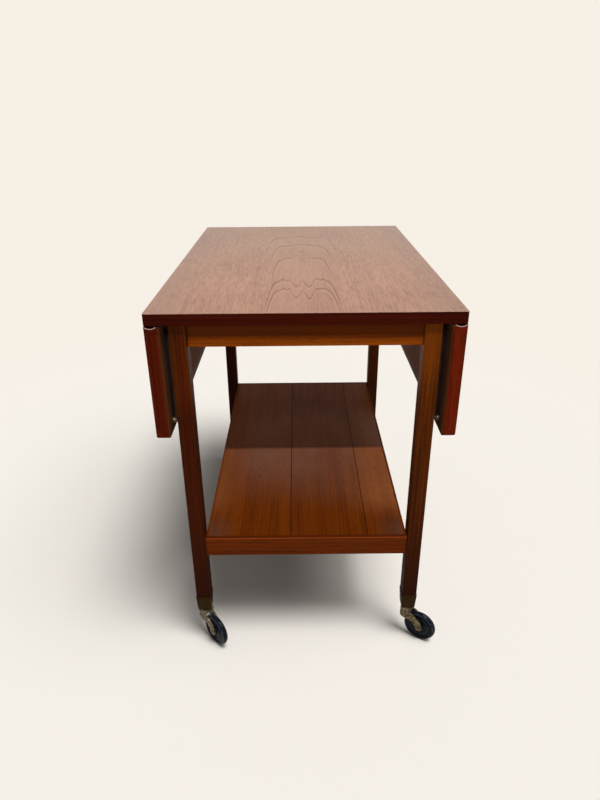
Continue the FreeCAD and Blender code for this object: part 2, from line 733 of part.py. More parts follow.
def caster_wheel():
    """A moulded wheel with a crowned tread, a recessed web on each side and a bored hub."""
    half = WHEEL_WIDTH / 2
    shoulder = WHEEL_RADIUS - TREAD_RISE
    web = half - WHEEL_WEB_RECESS
    hub_face = half + HUB_STAND_OFF
    near = [
        Vector(AXLE_RADIUS + AXLE_FIT, hub_face, 0),
        Vector(WHEEL_HUB_RADIUS, hub_face, 0),
        Vector(WHEEL_HUB_RADIUS, web, 0),
        Vector(shoulder - WHEEL_RIM, web, 0),
        Vector(shoulder - WHEEL_RIM, half, 0),
        Vector(shoulder, half, 0),
        Vector(WHEEL_RADIUS, TREAD_FLAT / 2, 0),
    ]
    far = [Vector(point.x, -point.y, 0) for point in reversed(near)]
    section = Part.Face(Part.makePolygon(near + far + near[:1]))
    wheel = section.revolve(Vector(), Y_AXIS, 360)
    wheel.translate(Vector(CASTER_TRAIL, 0, WHEEL_RADIUS))
    return wheel


def caster_parts():
    fork, wheel = caster_fork(), caster_wheel()
    parts = {}
    for corner, (side, end) in CORNERS.items():
        under_leg = Vector(side * LEG_X, end * LEG_Y, 0)
        turn = FreeCAD.Rotation(Z_AXIS, CASTER_TRAIL_ANGLE[corner])
        for name, shape in (("fork", fork), ("wheel", wheel)):
            placed = shape.copy()
            placed.Placement = FreeCAD.Placement(under_leg, turn).multiply(shape.Placement)
            parts[f"{name}_{corner}"] = placed
    return parts


# ---------------------------------------------------------------- export


def export(parts):
    os.makedirs("parts", exist_ok=True)
    for name, shape in parts.items():
        if isinstance(shape, list):
            shape = Part.makeCompound(shape) if len(shape) > 1 else shape[0]
        shape.exportStep(f"parts/{name}.step")
        volume = shape.Volume / 1000
        print(f"{name:28s} solids {len(shape.Solids):2d}  volume {volume:9.2f} cm3  {shape.isValid()}")


def main():
    parts = {}
    for group in (top_parts, leaf_parts, frame_parts, shelf_parts, caster_parts):
        parts.update(group())
    export(parts)


main()
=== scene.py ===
"""Dresses a drop leaf tea trolley: teak veneer, solid teak, aged brass, glossy black wheels, and a pale stage.

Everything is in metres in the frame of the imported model: origin on the floor under the middle of the top,
+Z up, +Y along the leaf hinges to the back, +X to the right.
"""

import json
import math

import bmesh
import bpy
import numpy as np
from bpy.props import FloatProperty, FloatVectorProperty, IntProperty, PointerProperty
from mathutils import Matrix, Vector


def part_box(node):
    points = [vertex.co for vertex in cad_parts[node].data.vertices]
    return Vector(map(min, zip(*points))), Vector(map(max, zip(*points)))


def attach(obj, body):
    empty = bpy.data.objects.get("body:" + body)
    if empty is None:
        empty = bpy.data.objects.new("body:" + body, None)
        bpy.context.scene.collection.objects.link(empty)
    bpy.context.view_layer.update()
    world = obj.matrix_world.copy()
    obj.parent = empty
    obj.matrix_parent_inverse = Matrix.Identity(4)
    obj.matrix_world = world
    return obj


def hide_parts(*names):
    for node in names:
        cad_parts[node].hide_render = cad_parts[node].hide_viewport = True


bl_info = {
    "name": "Drop leaf tea trolley",
    "version": (1, 0, 0),
    "blender": (4, 5, 0),
    "location": "View3D > Sidebar > Trolley",
    "description": "Veneer, solid wood, brass and wheels for a drop leaf tea trolley, with its stage",
    "category": "Object",
}

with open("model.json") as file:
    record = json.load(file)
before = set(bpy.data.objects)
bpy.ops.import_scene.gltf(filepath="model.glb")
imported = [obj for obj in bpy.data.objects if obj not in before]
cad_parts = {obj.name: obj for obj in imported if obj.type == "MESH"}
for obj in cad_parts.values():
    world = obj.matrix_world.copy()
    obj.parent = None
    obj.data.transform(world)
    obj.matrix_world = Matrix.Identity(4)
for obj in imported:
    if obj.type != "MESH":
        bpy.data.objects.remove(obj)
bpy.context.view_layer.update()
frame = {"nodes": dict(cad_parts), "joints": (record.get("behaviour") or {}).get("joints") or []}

SIDES = {"left": -1.0, "right": 1.0}
ENDS = {"front": -1.0, "back": 1.0}
CORNERS = [f"{end}_{side}" for end in ENDS for side in SIDES]

# The axis that the grain follows in each strip under or round the top.
STRIPS = {"front": "X", "back": "X", "left": "Y", "right": "Y"}


# ---------------------------------------------------------------- settings


def colour(name, description, default):
    return FloatVectorProperty(
        name=name, description=description, default=default, subtype="COLOR", size=3, min=0.0, max=1.0
    )


def amount(name, description, default, **more):
    return FloatProperty(name=name, description=description, default=default, **more)


def length(name, description, default):
    return amount(name, description, default, unit="LENGTH", min=0.0)


def share(name, description, default):
    return amount(name, description, default, subtype="FACTOR", min=0.0, max=1.0)


def places(name, description, default):
    return FloatVectorProperty(
        name=name, description=description, default=default, size=len(default), unit="LENGTH"
    )


class TrolleyWood(bpy.types.PropertyGroup):
    """Colours and figure of the veneers and the solid teak."""

    top_light: colour("Top, early wood", "Lightest tone of the top's veneer", (0.374, 0.184, 0.112))
    top_dark: colour("Top, late wood", "Darker tone of the top's veneer", (0.190, 0.080, 0.050))
    # Painted sheen: the top turns greyer towards the back, standing in for the reflection seen there at a
    # grazing view.
    top_back_sheen: colour("Top, bleached", "Greyer tone towards the back of the top", (0.225, 0.162, 0.125))
    top_grey_edges: colour("Top, worn", "Greyer tone at the sides and on the arris of the top", (0.200, 0.130, 0.105))
    shelf_light: colour("Shelf, early wood", "Lightest tone of the shelf's veneer", (0.320, 0.062, 0.0014))
    shelf_dark: colour("Shelf, late wood", "Darker tone of the shelf's veneer", (0.158, 0.027, 0.0006))
    # Painted sheen: the duller, greyer middle of the shelf stands in for its reflection there.
    shelf_sheen: colour("Shelf, worn", "Duller tone where the shelf's middle is worn", (0.355, 0.155, 0.094))
    # Painted light: a paler tone along the shelf's sides and into the shade just beyond the top's shadow edge.
    shelf_painted_light: colour(
        "Shelf, bleached", "Paler tone where the shelf's sides are bleached", (0.560, 0.180, 0.055)
    )
    cove_radius: length("Cove radius", "Radius of the cove in the leaves' upper edge, about the hinge", 0.0126)
    leaf_light: colour("Leaf, early wood", "Lightest tone of the leaves' outer veneer", (0.230, 0.080, 0.034))
    leaf_dark: colour("Leaf, late wood", "Darker tone of the leaves' outer veneer", (0.115, 0.033, 0.012))
    inner_light: colour(
        "Inner face, early wood", "Lightest tone of the leaves' inner veneer", (0.190, 0.082, 0.056)
    )
    inner_dark: colour(
        "Inner face, late wood", "Darker tone of the leaves' inner veneer", (0.080, 0.033, 0.022)
    )
    solid_light: colour("Solid teak, early wood", "Lightest tone of the legs", (0.090, 0.0110, 0.0007))
    solid_dark: colour("Solid teak, late wood", "Darker tone of the legs", (0.026, 0.0028, 0.0003))
    sap: colour("Sapwood", "Browner tone that runs through the legs in bands", (0.115, 0.0255, 0.0010))
    edge_light: colour("Edge, early wood", "Lightest tone of the top's lippings", (0.054, 0.0044, 0.0004))
    edge_dark: colour("Edge, late wood", "Darker tone of the top's lippings", (0.020, 0.0015, 0.0002))
    lip_light: colour("Leaf edge, early wood", "Lightest tone of the leaves' lippings", (0.110, 0.0085, 0.0005))
    lip_dark: colour("Leaf edge, late wood", "Darker tone of the leaves' lippings", (0.034, 0.0030, 0.0003))
    core_light: colour(
        "Core, early wood", "Lightest tone of the leaves' inner ply at the ends", (0.074, 0.021, 0.005)
    )
    core_dark: colour(
        "Core, late wood", "Darker tone of the leaves' inner ply at the ends", (0.031, 0.008, 0.0015)
    )
    # Painted highlight: the pale arris of the leaves' cove, where the edge catches the light.
    arris: colour("Rubbed arris", "Tone where the cove's arris is rubbed pale", (0.430, 0.310, 0.260))
    apron_light: colour("Apron, early wood", "Lightest tone of the aprons", (0.300, 0.061, 0.0014))
    apron_dark: colour("Apron, late wood", "Darker tone of the aprons", (0.110, 0.020, 0.0006))
    rail_light: colour("Rail, early wood", "Lightest tone of the shelf's rails", (0.156, 0.0262, 0.0008))
    rail_dark: colour("Rail, late wood", "Darker tone of the shelf's rails", (0.068, 0.0100, 0.0003))
    under: colour("Undersides", "Dull tone of the unseen undersides", (0.085, 0.062, 0.048))
    pore: colour("Pores", "Tone of the open pores", (0.014, 0.0040, 0.0012))
    block: colour("Corner blocks", "Tone of the plain blocks under the top", (0.420, 0.260, 0.130))
    figure_centre: amount(
        "Figure centre", "Where the two matched halves meet, along X", -0.003, unit="LENGTH"
    )
    arch_places: places(
        "Arches", "Where the arches cross the board, along Y", (-0.217, -0.162, -0.004, 0.112, 0.197)
    )
    arch_dips: places(
        "Arch dips", "How far the arches rise or dip at the joint", (-0.048, -0.044, 0.056, 0.014, 0.012)
    )
    arch_reaches: places(
        "Arch reaches", "How far the arches reach to each side", (0.0465, 0.0480, 0.0450, 0.0510, 0.0630)
    )
    ring_across: length("Ring spacing across", "Between straight growth lines at the sides", 0.0062)
    seam_width: length("Seam width", "Width of a glue line between veneers", 0.0011)
    shelf_seam_left: amount(
        "Left shelf seam", "Place of the first seam as a share of the shelf's width", 0.42
    )
    shelf_seam_right: amount("Right shelf seam", "Place of the second seam as a share of the width", 0.815)


class TrolleyMetal(bpy.types.PropertyGroup):
    """Colours of brass and steel, and sizes of the small fasteners."""

    aged: colour("Aged brass", "Brass of the forks between the worn places", (0.056, 0.040, 0.018))
    wear_and_sheen: colour("Worn brass", "Brass that shows through where it is rubbed", (0.225, 0.175, 0.100))
    # Worn bright brass on the fork edges, made paler also as a painted highlight.
    bright: colour("Bright brass", "Brass on the edges, rubbed bright", (0.760, 0.640, 0.540))
    patina: colour("Patina", "Dark olive skin on the ferrules", (0.0205, 0.0094, 0.0008))
    patina_worn: colour("Patina, rubbed", "Brass that shows through the patina", (0.038, 0.0200, 0.0028))
    steel: colour("Steel", "Bare steel of stays and screws", (0.260, 0.250, 0.235))
    edge_width: length("Edge rounding", "Rounding of the cast and pressed edges", 0.0004)
    rivet_radius: length("Axle rivet radius", "Radius of the axle's riveted ends", 0.0038)
    rivet_height: length("Axle rivet height", "Height of the axle's riveted ends", 0.0012)
    screw_radius: length("Screw head radius", "Radius of the countersunk screw heads", 0.0030)
    slot_width: length("Screw slot width", "Width of the slot in a screw head", 0.0008)
    slot_depth: length("Screw slot depth", "Depth of the slot in a screw head", 0.0006)
    ferrule_corner: length("Ferrule corner", "Radius of the ferrule's upright corners", 0.0021)
    ferrule_lip: length("Ferrule lip", "Rounding of the ferrule's upper lip", 0.0004)


class TrolleyWheels(bpy.types.PropertyGroup):
    """Form and finish of the moulded wheels."""

    black: colour("Wheel", "Glossy black of the moulding", (0.0016, 0.0026, 0.0060))
    # Dust on the tread, made paler so that it also stands as a painted highlight.
    dust_and_sheen: colour("Dust", "Floor dust on the tread", (0.042, 0.048, 0.064))
    # Painted highlight: the paler shoulder and raised ring stand in for reflections.
    wear_and_highlight: colour("Rubbed ring", "Paler tone on the shoulder and the raised ring", (0.150, 0.170, 0.215))
    width: length("Width", "Width over the rim", 0.010)
    hub_radius: length("Hub radius", "Radius of the raised hub", 0.0070)
    hub_stand: length("Hub stand-off", "How far the hub stands proud of the rim", 0.0015)
    web_recess: length("Web recess", "Depth of the web below the rim", 0.0015)
    tread_rise: length("Tread rise", "Height of the crowned tread above the shoulder", 0.0028)
    rim: length("Rim", "Radial width of the flat rim", 0.0025)
    bore: length("Bore", "Radius of the bore", 0.00254)
    ring_height: length("Ring height", "Height of the raised ring on the web", 0.0013)
    inside: length("Allowance", "How far the crowned tread stays inside the packed wheel", 0.0001)
    segments: IntProperty(name="Segments", description="Divisions round the wheel", default=112, min=24)


class TrolleyStage(bpy.types.PropertyGroup):
    """Camera, lamps and floor."""

    backdrop: colour("Backdrop", "Warm cream of floor and backdrop", (0.930, 0.868, 0.787))
    camera_place: places("Camera place", "Where the lens stands", (-0.0110, -1.1298, 0.8745))
    camera_down: amount("Tilt", "Down from level, degrees", 25.745)
    camera_aside: amount("Pan", "Towards +X, degrees", 0.16)
    camera_roll: amount("Roll", "Roll of the camera, degrees", -0.46)
    lens: amount("Lens", "Focal length on a 36 mm side, millimetres", 26.97)
    key_height: amount("Key height", "Height of the front lamp, degrees", 49.3)
    key_aside: amount("Key direction", "Front lamp towards +X, degrees", 0.5)
    key_power: amount("Key power", "Strength of the front lamp", 1.25)
    high_power: amount("High power", "Strength of the lamp high at the right", 1.82)
    side_power: amount("Side power", "Strength of the broad lamp beside it", 1.13)
    back_power: amount("Back power", "Strength of the lamp behind", 0.75)
    fill: share("Fill", "Level of the surrounding soft light", 0.16)
    floor_tone: colour("Floor", "Warm cream of the floor where the lamps light it", (0.905, 0.862, 0.795))
    floor_near: length("Floor, near", "Distance out to which the floor is lit by the lamps alone", 0.75)
    floor_far: length("Floor, far", "Distance beyond which the floor is all backdrop", 1.60)


# ---------------------------------------------------------------- shader maths


def maths(operation, reflected=False):
    """A method that adds one Math node; a reflected one puts its own number last."""

    def method(self, *others):
        terms = [*others, self] if reflected else [self, *others]
        return self.nodes.add("ShaderNodeMath", {"operation": operation}, terms)

    return method


class Strand:
    """A number on its way through a shader. Python's operators add the Math nodes."""

    def __init__(self, nodes, socket):
        self.nodes, self.socket = nodes, socket

    __add__, __radd__ = maths("ADD"), maths("ADD", reflected=True)
    __sub__, __rsub__ = maths("SUBTRACT"), maths("SUBTRACT", reflected=True)
    __mul__, __rmul__ = maths("MULTIPLY"), maths("MULTIPLY", reflected=True)
    __truediv__, __rtruediv__ = maths("DIVIDE"), maths("DIVIDE", reflected=True)
    __pow__, __rpow__ = maths("POWER"), maths("POWER", reflected=True)
    __abs__, root = maths("ABSOLUTE"), maths("SQRT")
    fraction, least, most = maths("FRACT"), maths("MINIMUM"), maths("MAXIMUM")

    def rise(self, low, high):
        """0 below low, 1 above high, and a smooth curve between."""
        return self.nodes.add(
            "ShaderNodeMapRange",
            {"interpolation_type": "SMOOTHSTEP"},
            {"Value": self, "From Min": low, "From Max": high},
        )


class Nodes:
    """A node tree that is filled by expressions."""

    def __init__(self, tree):
        self.tree = tree
        tree.nodes.clear()

    def add(self, kind, settings=None, inputs=None, output=0):
        """Adds a node: its settings first, then values or links for its sockets, by index or by name."""
        node = self.tree.nodes.new(kind)
        for key, value in (settings or {}).items():
            setattr(node, key, value)
        pairs = enumerate(inputs) if isinstance(inputs, list) else (inputs or {}).items()
        for key, value in pairs:
            socket = node.inputs[key] if isinstance(key, int) else self.named(node.inputs, key)
            if isinstance(value, Strand):
                self.tree.links.new(value.socket, socket)
            elif value is not None:
                socket.default_value = value
        outlet = node.outputs[output] if isinstance(output, int) else self.named(node.outputs, output)
        return Strand(self, outlet) if outlet else node

    @staticmethod
    def named(sockets, key):
        return next(socket for socket in sockets if key in (socket.identifier, socket.name))

    def position(self, kind="Object"):
        """The three coordinates of a surface point; Object ones are in metres."""
        place = self.add("ShaderNodeTexCoord", output=kind)
        parts = self.tree.nodes.new("ShaderNodeSeparateXYZ")
        self.tree.links.new(place.socket, parts.inputs[0])
        return [Strand(self, outlet) for outlet in parts.outputs]

    def vector(self, *parts):
        return self.add("ShaderNodeCombineXYZ", inputs=list(parts))

    def noise(self, across, along, deep, detail=3.0, roughness=0.55):
        """Smooth noise from 0 to 1 at a point whose parts are already scaled."""
        inputs = {"Vector": self.vector(across, along, deep), "Scale": 1.0, "Detail": detail}
        return self.add("ShaderNodeTexNoise", inputs={**inputs, "Roughness": roughness})

    def mix(self, factor, first, second):
        """From the first colour to the second."""
        first, second = (value if isinstance(value, Strand) else (*value, 1.0) for value in (first, second))
        return self.add(
            "ShaderNodeMix",
            {"data_type": "RGBA"},
            {"Factor_Float": factor, "A_Color": first, "B_Color": second},
            "Result_Color",
        )

    def bump(self, height, distance, strength=1.0):
        return self.add("ShaderNodeBump", inputs={"Height": height, "Distance": distance, "Strength": strength})

    def end(self, kind, shader):
        outlet = self.tree.nodes.new(kind)
        self.tree.links.new(shader.socket, outlet.inputs["Surface"])


class Finish(Nodes):
    """A material under construction."""

    def __init__(self, name):
        self.material = bpy.data.materials.new(name)
        self.material.use_nodes = True
        super().__init__(self.material.node_tree)

    def shader(self, **sockets):
        """A Principled surface; a socket's name is written with underscores."""
        inputs = {key.replace("_", " "): value for key, value in sockets.items()}
        return self.add("ShaderNodeBsdfPrincipled", inputs=inputs)

    def coat(self, **sockets):
        """Ends the material in one Principled surface."""
        self.end("ShaderNodeOutputMaterial", self.shader(**sockets))
        return self.material

    def blend(self, factor, first, second):
        """Ends the material in two Principled surfaces, from the first to the second."""
        shaders = [factor, self.shader(**first), self.shader(**second)]
        self.end("ShaderNodeOutputMaterial", self.add("ShaderNodeMixShader", inputs=shaders))
        return self.material


# ---------------------------------------------------------------- wood

# Where a finish changes, in metres: the stretch of height, or of distance from the middle, that it takes.
TOP_FACE, TOP_UNDER = (0.62535, 0.62565), (0.6095, 0.6100)
TOP_SIDE_ARRIS, TOP_BACK_ARRIS = (0.2215, 0.2240), (0.3350, 0.3390)
LEAF_OUTER_PLY, LEAF_OUTER_FACE = (0.2062, 0.2070), (0.2130, 0.2145)
COVE_OUTER_PLY, COVE_END = (0.2066, 0.2074), (0.3390, 0.3396)
LEAF_SHADE_BY_LEGS = (0.285, 0.310)

# Beyond the cove's radius, where the painted highlight on its arris ends; half the change from leaf to leaf of
# the shelf;
# the breadth in which the dark line beside a leg, painted shade in the joint along with a glue line, comes in.
COVE_ARRIS, SEAM_STEP, JOINT_SHADE = (0.0007, 0.0012), 0.0001, 0.0005

# Which coordinates lie across, along and again across the grain, for each axis that it follows.
GRAIN = {"X": (1, 0, 2), "Y": (0, 1, 2), "Z": (0, 2, 1)}


def toned(tone, times=1.0, plus=0.0):
    """A colour with each part scaled and raised."""
    return tuple(part * times + plus for part in tone)


def wood_fibres(finish, across, along, deep):
    """Streaks, flecks and pores: noise that is drawn out along the grain, coarse, middling and fine."""
    streaks = finish.noise(across * 55, along * 1.3, deep * 55, 4.0, 0.6)
    flecks = finish.noise(across * 330, along * 9, deep * 330, 3.0, 0.6)
    pores = finish.noise(across * 1100, along * 42, deep * 1100, 2.0, 0.5).rise(0.56, 0.70)
    return streaks, flecks, pores


def teak_look(finish, along, seed, tones, pore, sheen=0.03):
    """Solid teak: growth rings about a pith that lies beside the board, with fibres along the grain.

    The ring number is the distance from the pith over the ring's width, pushed about by slow noise. A third
    tone, where there is one, runs through the board in broad bands.
    """
    parts = finish.position()
    first, grain, second = (parts[index] for index in GRAIN[along])
    across, deep, run = first + seed * 0.113, second + seed * 0.071, grain + seed * 0.37
    wander = finish.noise(across * 9, run * 1.7, deep * 9, 2.0, 0.5) - 0.5
    pith_across, pith_deep = 0.031 + 0.17 * math.sin(seed), 0.12 + 0.05 * math.cos(2.3 * seed)
    radius = ((first - pith_across) ** 2.0 + (second * 0.8 + pith_deep) ** 2.0).root()
    ring = (radius / 0.0052 + wander * 3.2).fraction()
    line = (ring**3.0).least((1.0 - ring) * 9)
    streaks, flecks, pores = wood_fibres(finish, across, run, deep)
    tone = (streaks - 0.5) * 1.25 + (flecks - 0.5) * 0.7 + line * 0.36 + 0.35
    light, dark, *third = tones
    if third:
        band = finish.noise(across * 34, run * 1.1, deep * 34, 2.0, 0.5).rise(0.44, 0.60)
        light = finish.mix(band, light, third[0])
    return {
        "Base_Color": finish.mix(pores * 0.55, finish.mix(tone.rise(0.0, 1.0), light, dark), pore),
        "Roughness": flecks * 0.16 + pores * 0.14 + 0.38,
        "Normal": finish.bump(flecks * 0.4 - pores * 0.7 + line * 0.15, 0.00012),
        "Specular_IOR_Level": sheen,
    }


def solid_teak(name, along, seed, tones, pore, joint_shade_line=None, shades=()):
    """One piece of solid teak.

    The joint line is how far out along X a dark line stands beside a leg: a glue line that is also painted
    shade in the joint. Each shade is a tone that comes in over a stretch of height: none of it at the first
    height and the given share of it at the second. These bands paint shade under the top, light on the right
    legs' tops and a highlight on the rails' arris, and darken the legs towards the foot and the rails' top
    joint.
    """
    finish = Finish(name)
    look = teak_look(finish, along, seed, tones, pore)
    # Painted shade: a dark line where the apron meets each leg, along with the glue line there.
    if joint_shade_line:
        beside = abs(finish.position()[0]).rise(joint_shade_line - JOINT_SHADE, joint_shade_line)
        look["Base_Color"] = finish.mix(beside * 0.9, look["Base_Color"], pore)
    for start, full, amount, tone in shades:
        height = finish.position()[2]
        shade = height.rise(start, full) if full > start else 1.0 - height.rise(full, start)
        look["Base_Color"] = finish.mix(shade * amount, look["Base_Color"], tone)
    return finish.coat(**look)


def arch_lines(finish, wood, across, along):
    """Growth lines of two matched leaves: flat-topped arches, mirrored about the joint between them.

    A line runs at its place along the board, rises or dips smoothly at the joint, and falls away with the
    tenth power of its distance from the joint over its reach. It is broad on the crown and thin on the
    flanks, so its width grows with the slope there, and it fades beyond its reach. Gives the dark lines and
    the pale ones beside them.
    """
    mirrored = abs(across - wood.figure_centre)
    at_joint = 1.0 - mirrored.rise(0.002, 0.019)
    beside_joint = 1.0 - abs(mirrored - 0.0095).rise(0.001, 0.0125)
    wobble = (finish.noise(mirrored * 95, along * 9, across * 40, 4.0, 0.6) - 0.5) * 0.046
    broken = finish.noise(across * 240, along * 22, 3.1, 2.0, 0.5).rise(0.20, 0.55) * 0.6 + 0.4
    dark, pale = 0.0 * mirrored, 0.0 * mirrored
    for place, dip, reach in zip(wood.arch_places, wood.arch_dips, wood.arch_reaches):
        share_out = mirrored / reach
        fall = (share_out**10.0) * 0.05
        width = (share_out**9.0).least(2.2) * (0.00055 / reach) + 0.0062
        bend = (beside_joint if dip < 0 else at_joint) * dip
        offset = (along - place - bend + fall + wobble) / width
        kept = 1.0 - share_out.rise(1.02, 1.16)
        dark = dark.most((1.0 - abs(offset)) * kept)
        pale = pale.most((1.0 - abs(offset + 1.8)) * kept)
    inside = 1.0 - mirrored.rise(0.044, 0.066)
    return dark * broken, pale, inside


def veneer_look(finish, wood):
    """The top: matched arches in the middle, flecked straight grain beside them, a satin skin."""
    across, along, height = finish.position()
    dark, pale, inside = arch_lines(finish, wood, across, along)
    streaks, flecks, pores = wood_fibres(finish, across, along, 0.6)
    clouds = finish.noise(across * 9, along * 5, 1.3, 3.0, 0.5)
    leaning = across + abs(across - wood.figure_centre) * along * 0.25
    dashes = finish.noise(leaning * 400, along * 30, 5.1, 2.0, 0.55)
    straight = finish.noise(leaning * 190, along * 5.0, 8.4, 2.0, 0.5)
    tone = (streaks - 0.5) * 0.30 + (flecks - 0.5) * 0.55 + (clouds - 0.5) * 0.45 + 0.40
    beside = 1.0 - inside * 0.75
    tone = tone + ((dashes - 0.5) * 1.5 + (straight - 0.5) * 0.5) * beside + dark * 0.55 - pale * 0.34
    seam = 1.0 - abs(across - wood.figure_centre).rise(0.001, 0.010)
    tone = tone + seam * (1.0 - abs(along + 0.01).rise(0.02, 0.07)) * (dashes - 0.35) * 1.6
    body = finish.mix(tone.rise(0.0, 1.0), wood.top_light, wood.top_dark)
    # Painted sheen: greyer towards the back of the top.
    body = finish.mix(along.rise(-0.25, 0.34) * 0.45, body, wood.top_back_sheen)
    # Greyer tone on the side and back arrises, and towards the sides of the top.
    arris = abs(across).rise(*TOP_SIDE_ARRIS).most(along.rise(*TOP_BACK_ARRIS)) * 0.5
    body = finish.mix(arris.most(abs(across).rise(0.15, 0.22) * 0.3), body, wood.top_grey_edges)
    below = 1.0 - height.rise(*TOP_UNDER)
    body = finish.mix(below, body, wood.under)
    return {
        "Base_Color": finish.mix((pores * 0.30).most(dark * 0.24), body, wood.pore),
        "Roughness": flecks * 0.12 + clouds * 0.06 + pores * 0.10 + dark * 0.08 + below * 0.45 + 0.33,
        "Normal": finish.bump(flecks * 0.35 - pores * 0.7 - dark * 0.9, 0.00010),
    }


def top_veneer(wood):
    finish = Finish("top_veneer")
    return finish.coat(**veneer_look(finish, wood))


def top_edge(name, wood, along, seed):
    """A lipping of the top: the veneer runs over its upper face, and its sides are dark solid teak."""
    finish = Finish(name)
    across, run, height = finish.position()
    teak = teak_look(finish, along, seed, (wood.edge_light, wood.edge_dark), wood.pore)
    darker = abs(across).rise(0.13, 0.21) * 0.4
    teak["Base_Color"] = finish.mix(darker, teak["Base_Color"], wood.edge_dark)
    return finish.blend(height.rise(*TOP_FACE), teak, veneer_look(finish, wood))


def leaf_end(name, wood, along, seed, warmth, pivot):
    """A lipping of a leaf: a browner inner ply shows beside the redder outer one.

    At the two ends a highlight is painted on the arris of the cove: it lies at the cove's radius from the
    hinge's pivot.
    """
    finish = Finish(name)
    across, run, height = finish.position()
    outer = abs(across).rise(*LEAF_OUTER_PLY)
    tones = [
        finish.mix(outer, core, toned(lip, warmth))
        for core, lip in ((wood.core_light, wood.lip_light), (wood.core_dark, wood.lip_dark))
    ]
    look = teak_look(finish, along, seed, tones, wood.pore)
    out = ((abs(across) - abs(pivot[0])) ** 2.0 + (height - pivot[2]) ** 2.0).root() - wood.cove_radius
    # Painted highlight along the cove's arris at the leaf's ends.
    wear_and_highlight = (1.0 - out.rise(*COVE_ARRIS)) * abs(across).rise(*COVE_OUTER_PLY) * abs(run).rise(*COVE_END)
    look["Base_Color"] = finish.mix(wear_and_highlight * 0.9, look["Base_Color"], wood.arris)
    return finish.coat(**look)


def growth_lines(finish, wood, across, slow, push):
    """Straight growth lines, each darkening slowly and ending short, pushed about by noise at a slow point."""
    wander = finish.noise(*slow, 2.0, 0.5) - 0.5
    phase = (across / wood.ring_across + wander * push).fraction()
    return (phase**4.0).least((1.0 - phase) * 10)


def shelf_veneer(wood):
    """The shelf: three leaves of straight grain, each a little different, with dark glue lines between."""
    finish = Finish("shelf_veneer")
    across, along, deep = finish.position()
    low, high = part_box("shelf_panel")
    width = high.x - low.x
    seams = [low.x + width * place for place in (wood.shelf_seam_left, wood.shelf_seam_right)]
    second, third = (across.rise(seam - SEAM_STEP, seam + SEAM_STEP) for seam in seams)
    lines = [1.0 - abs(across - seam).rise(wood.seam_width * 0.4, wood.seam_width) for seam in seams]
    gap = lines[0].most(lines[1])
    shifted = across + second * 0.71 + third * 0.43
    line = growth_lines(finish, wood, shifted, (shifted * 8, along * 1.2, 0.0), 4.5)
    streaks, flecks, pores = wood_fibres(finish, shifted, along, deep)
    tone = (streaks - 0.5) * 1.6 + (flecks - 0.5) * 1.0 + line * 0.36 + second * 0.16 - third * 0.12 + 0.28
    body = finish.mix(tone.rise(0.0, 1.0), wood.shelf_light, wood.shelf_dark)
    # Painted sheen: a duller, greyer patch over the lit middle of the shelf stands in for its reflection,
    # fading towards the back.
    patches = finish.noise(across * 14, along * 6, 4.4, 2.0, 0.5).rise(0.30, 0.62) * 0.5 + 0.5
    fading = 1.0 - along.rise(0.06, 0.20)
    wear_and_sheen = along.rise(-0.26, -0.06) * fading * (1.0 - abs(across).rise(0.08, 0.17) * 0.7) * patches
    body = finish.mix(wear_and_sheen * 0.75, body, wood.shelf_sheen)
    # Painted light: paler along the sides, and a lighter band just inside the shade that the top casts.
    border = abs(across + 0.026).rise(0.080, 0.180) * along.rise(-0.28, -0.20) * (fading * 0.4 + 0.6)
    border = border * (1.0 - along.rise(-0.19, -0.09) * 0.3)
    painted_light = border.most(along.rise(-0.035, 0.0) * fading * 0.5)
    body = finish.mix(painted_light * (1.25 - streaks * 0.9), body, wood.shelf_painted_light)
    # Painted reflection: the right side of the shelf's shaded part is lightened further.
    side_reflection = across.rise(0.095, 0.160) * along.rise(-0.035, 0.0) * fading * 0.7
    body = finish.mix(side_reflection, body, toned(wood.shelf_painted_light, plus=0.16))
    # Painted shade: darker, greyer front corners of the shelf beside the legs.
    corner_shade = (1.0 - along.rise(-0.305, -0.240)) * abs(across).rise(0.105, 0.170)
    body = finish.mix(corner_shade * 0.6, body, toned(wood.shelf_sheen, 0.6))
    body = finish.mix(1.0 - deep.rise(low.z + 0.0005, low.z + 0.0010), body, wood.under)
    return finish.coat(
        Base_Color=finish.mix((pores * 0.4).most(gap * 0.9), body, wood.pore),
        Roughness=flecks * 0.16 + pores * 0.12 + gap * 0.2 + 0.34,
        Normal=finish.bump(flecks * 0.35 - pores * 0.7 - gap * 1.5, 0.00012),
        Specular_IOR_Level=0.03,
    )


def leaf_veneer(wood):
    """The leaves: straight grain along the hinge, a little duller than the top, darker on the inner face, with
    painted shade near its ends.
    """
    finish = Finish("leaf_veneer")
    deep, along, across = finish.position()
    line = growth_lines(finish, wood, across, (across * 8, along * 1.4, deep * 8), 5)
    streaks, flecks, pores = wood_fibres(finish, across, along, deep)
    tone = (streaks - 0.5) * 1.1 + (flecks - 0.5) * 0.7 + line * 0.4 + 0.34
    outer = abs(deep).rise(*LEAF_OUTER_FACE)
    tone = tone.rise(0.0, 1.0)
    inner = finish.mix(tone, wood.inner_light, wood.inner_dark)
    # Painted shade: the inner face darkens towards its ends, where it faces the legs across a narrow gap.
    inner = finish.mix(abs(along).rise(*LEAF_SHADE_BY_LEGS) * 0.8, inner, wood.core_dark)
    body = finish.mix(outer, inner, finish.mix(tone, wood.leaf_light, wood.leaf_dark))
    return finish.coat(
        Base_Color=finish.mix(pores * 0.45, body, wood.pore),
        Roughness=flecks * 0.15 + pores * 0.12 + 0.70 - outer * 0.28,
        Normal=finish.bump(flecks * 0.35 - pores * 0.7, 0.00011),
        Specular_IOR_Level=0.025,
    )


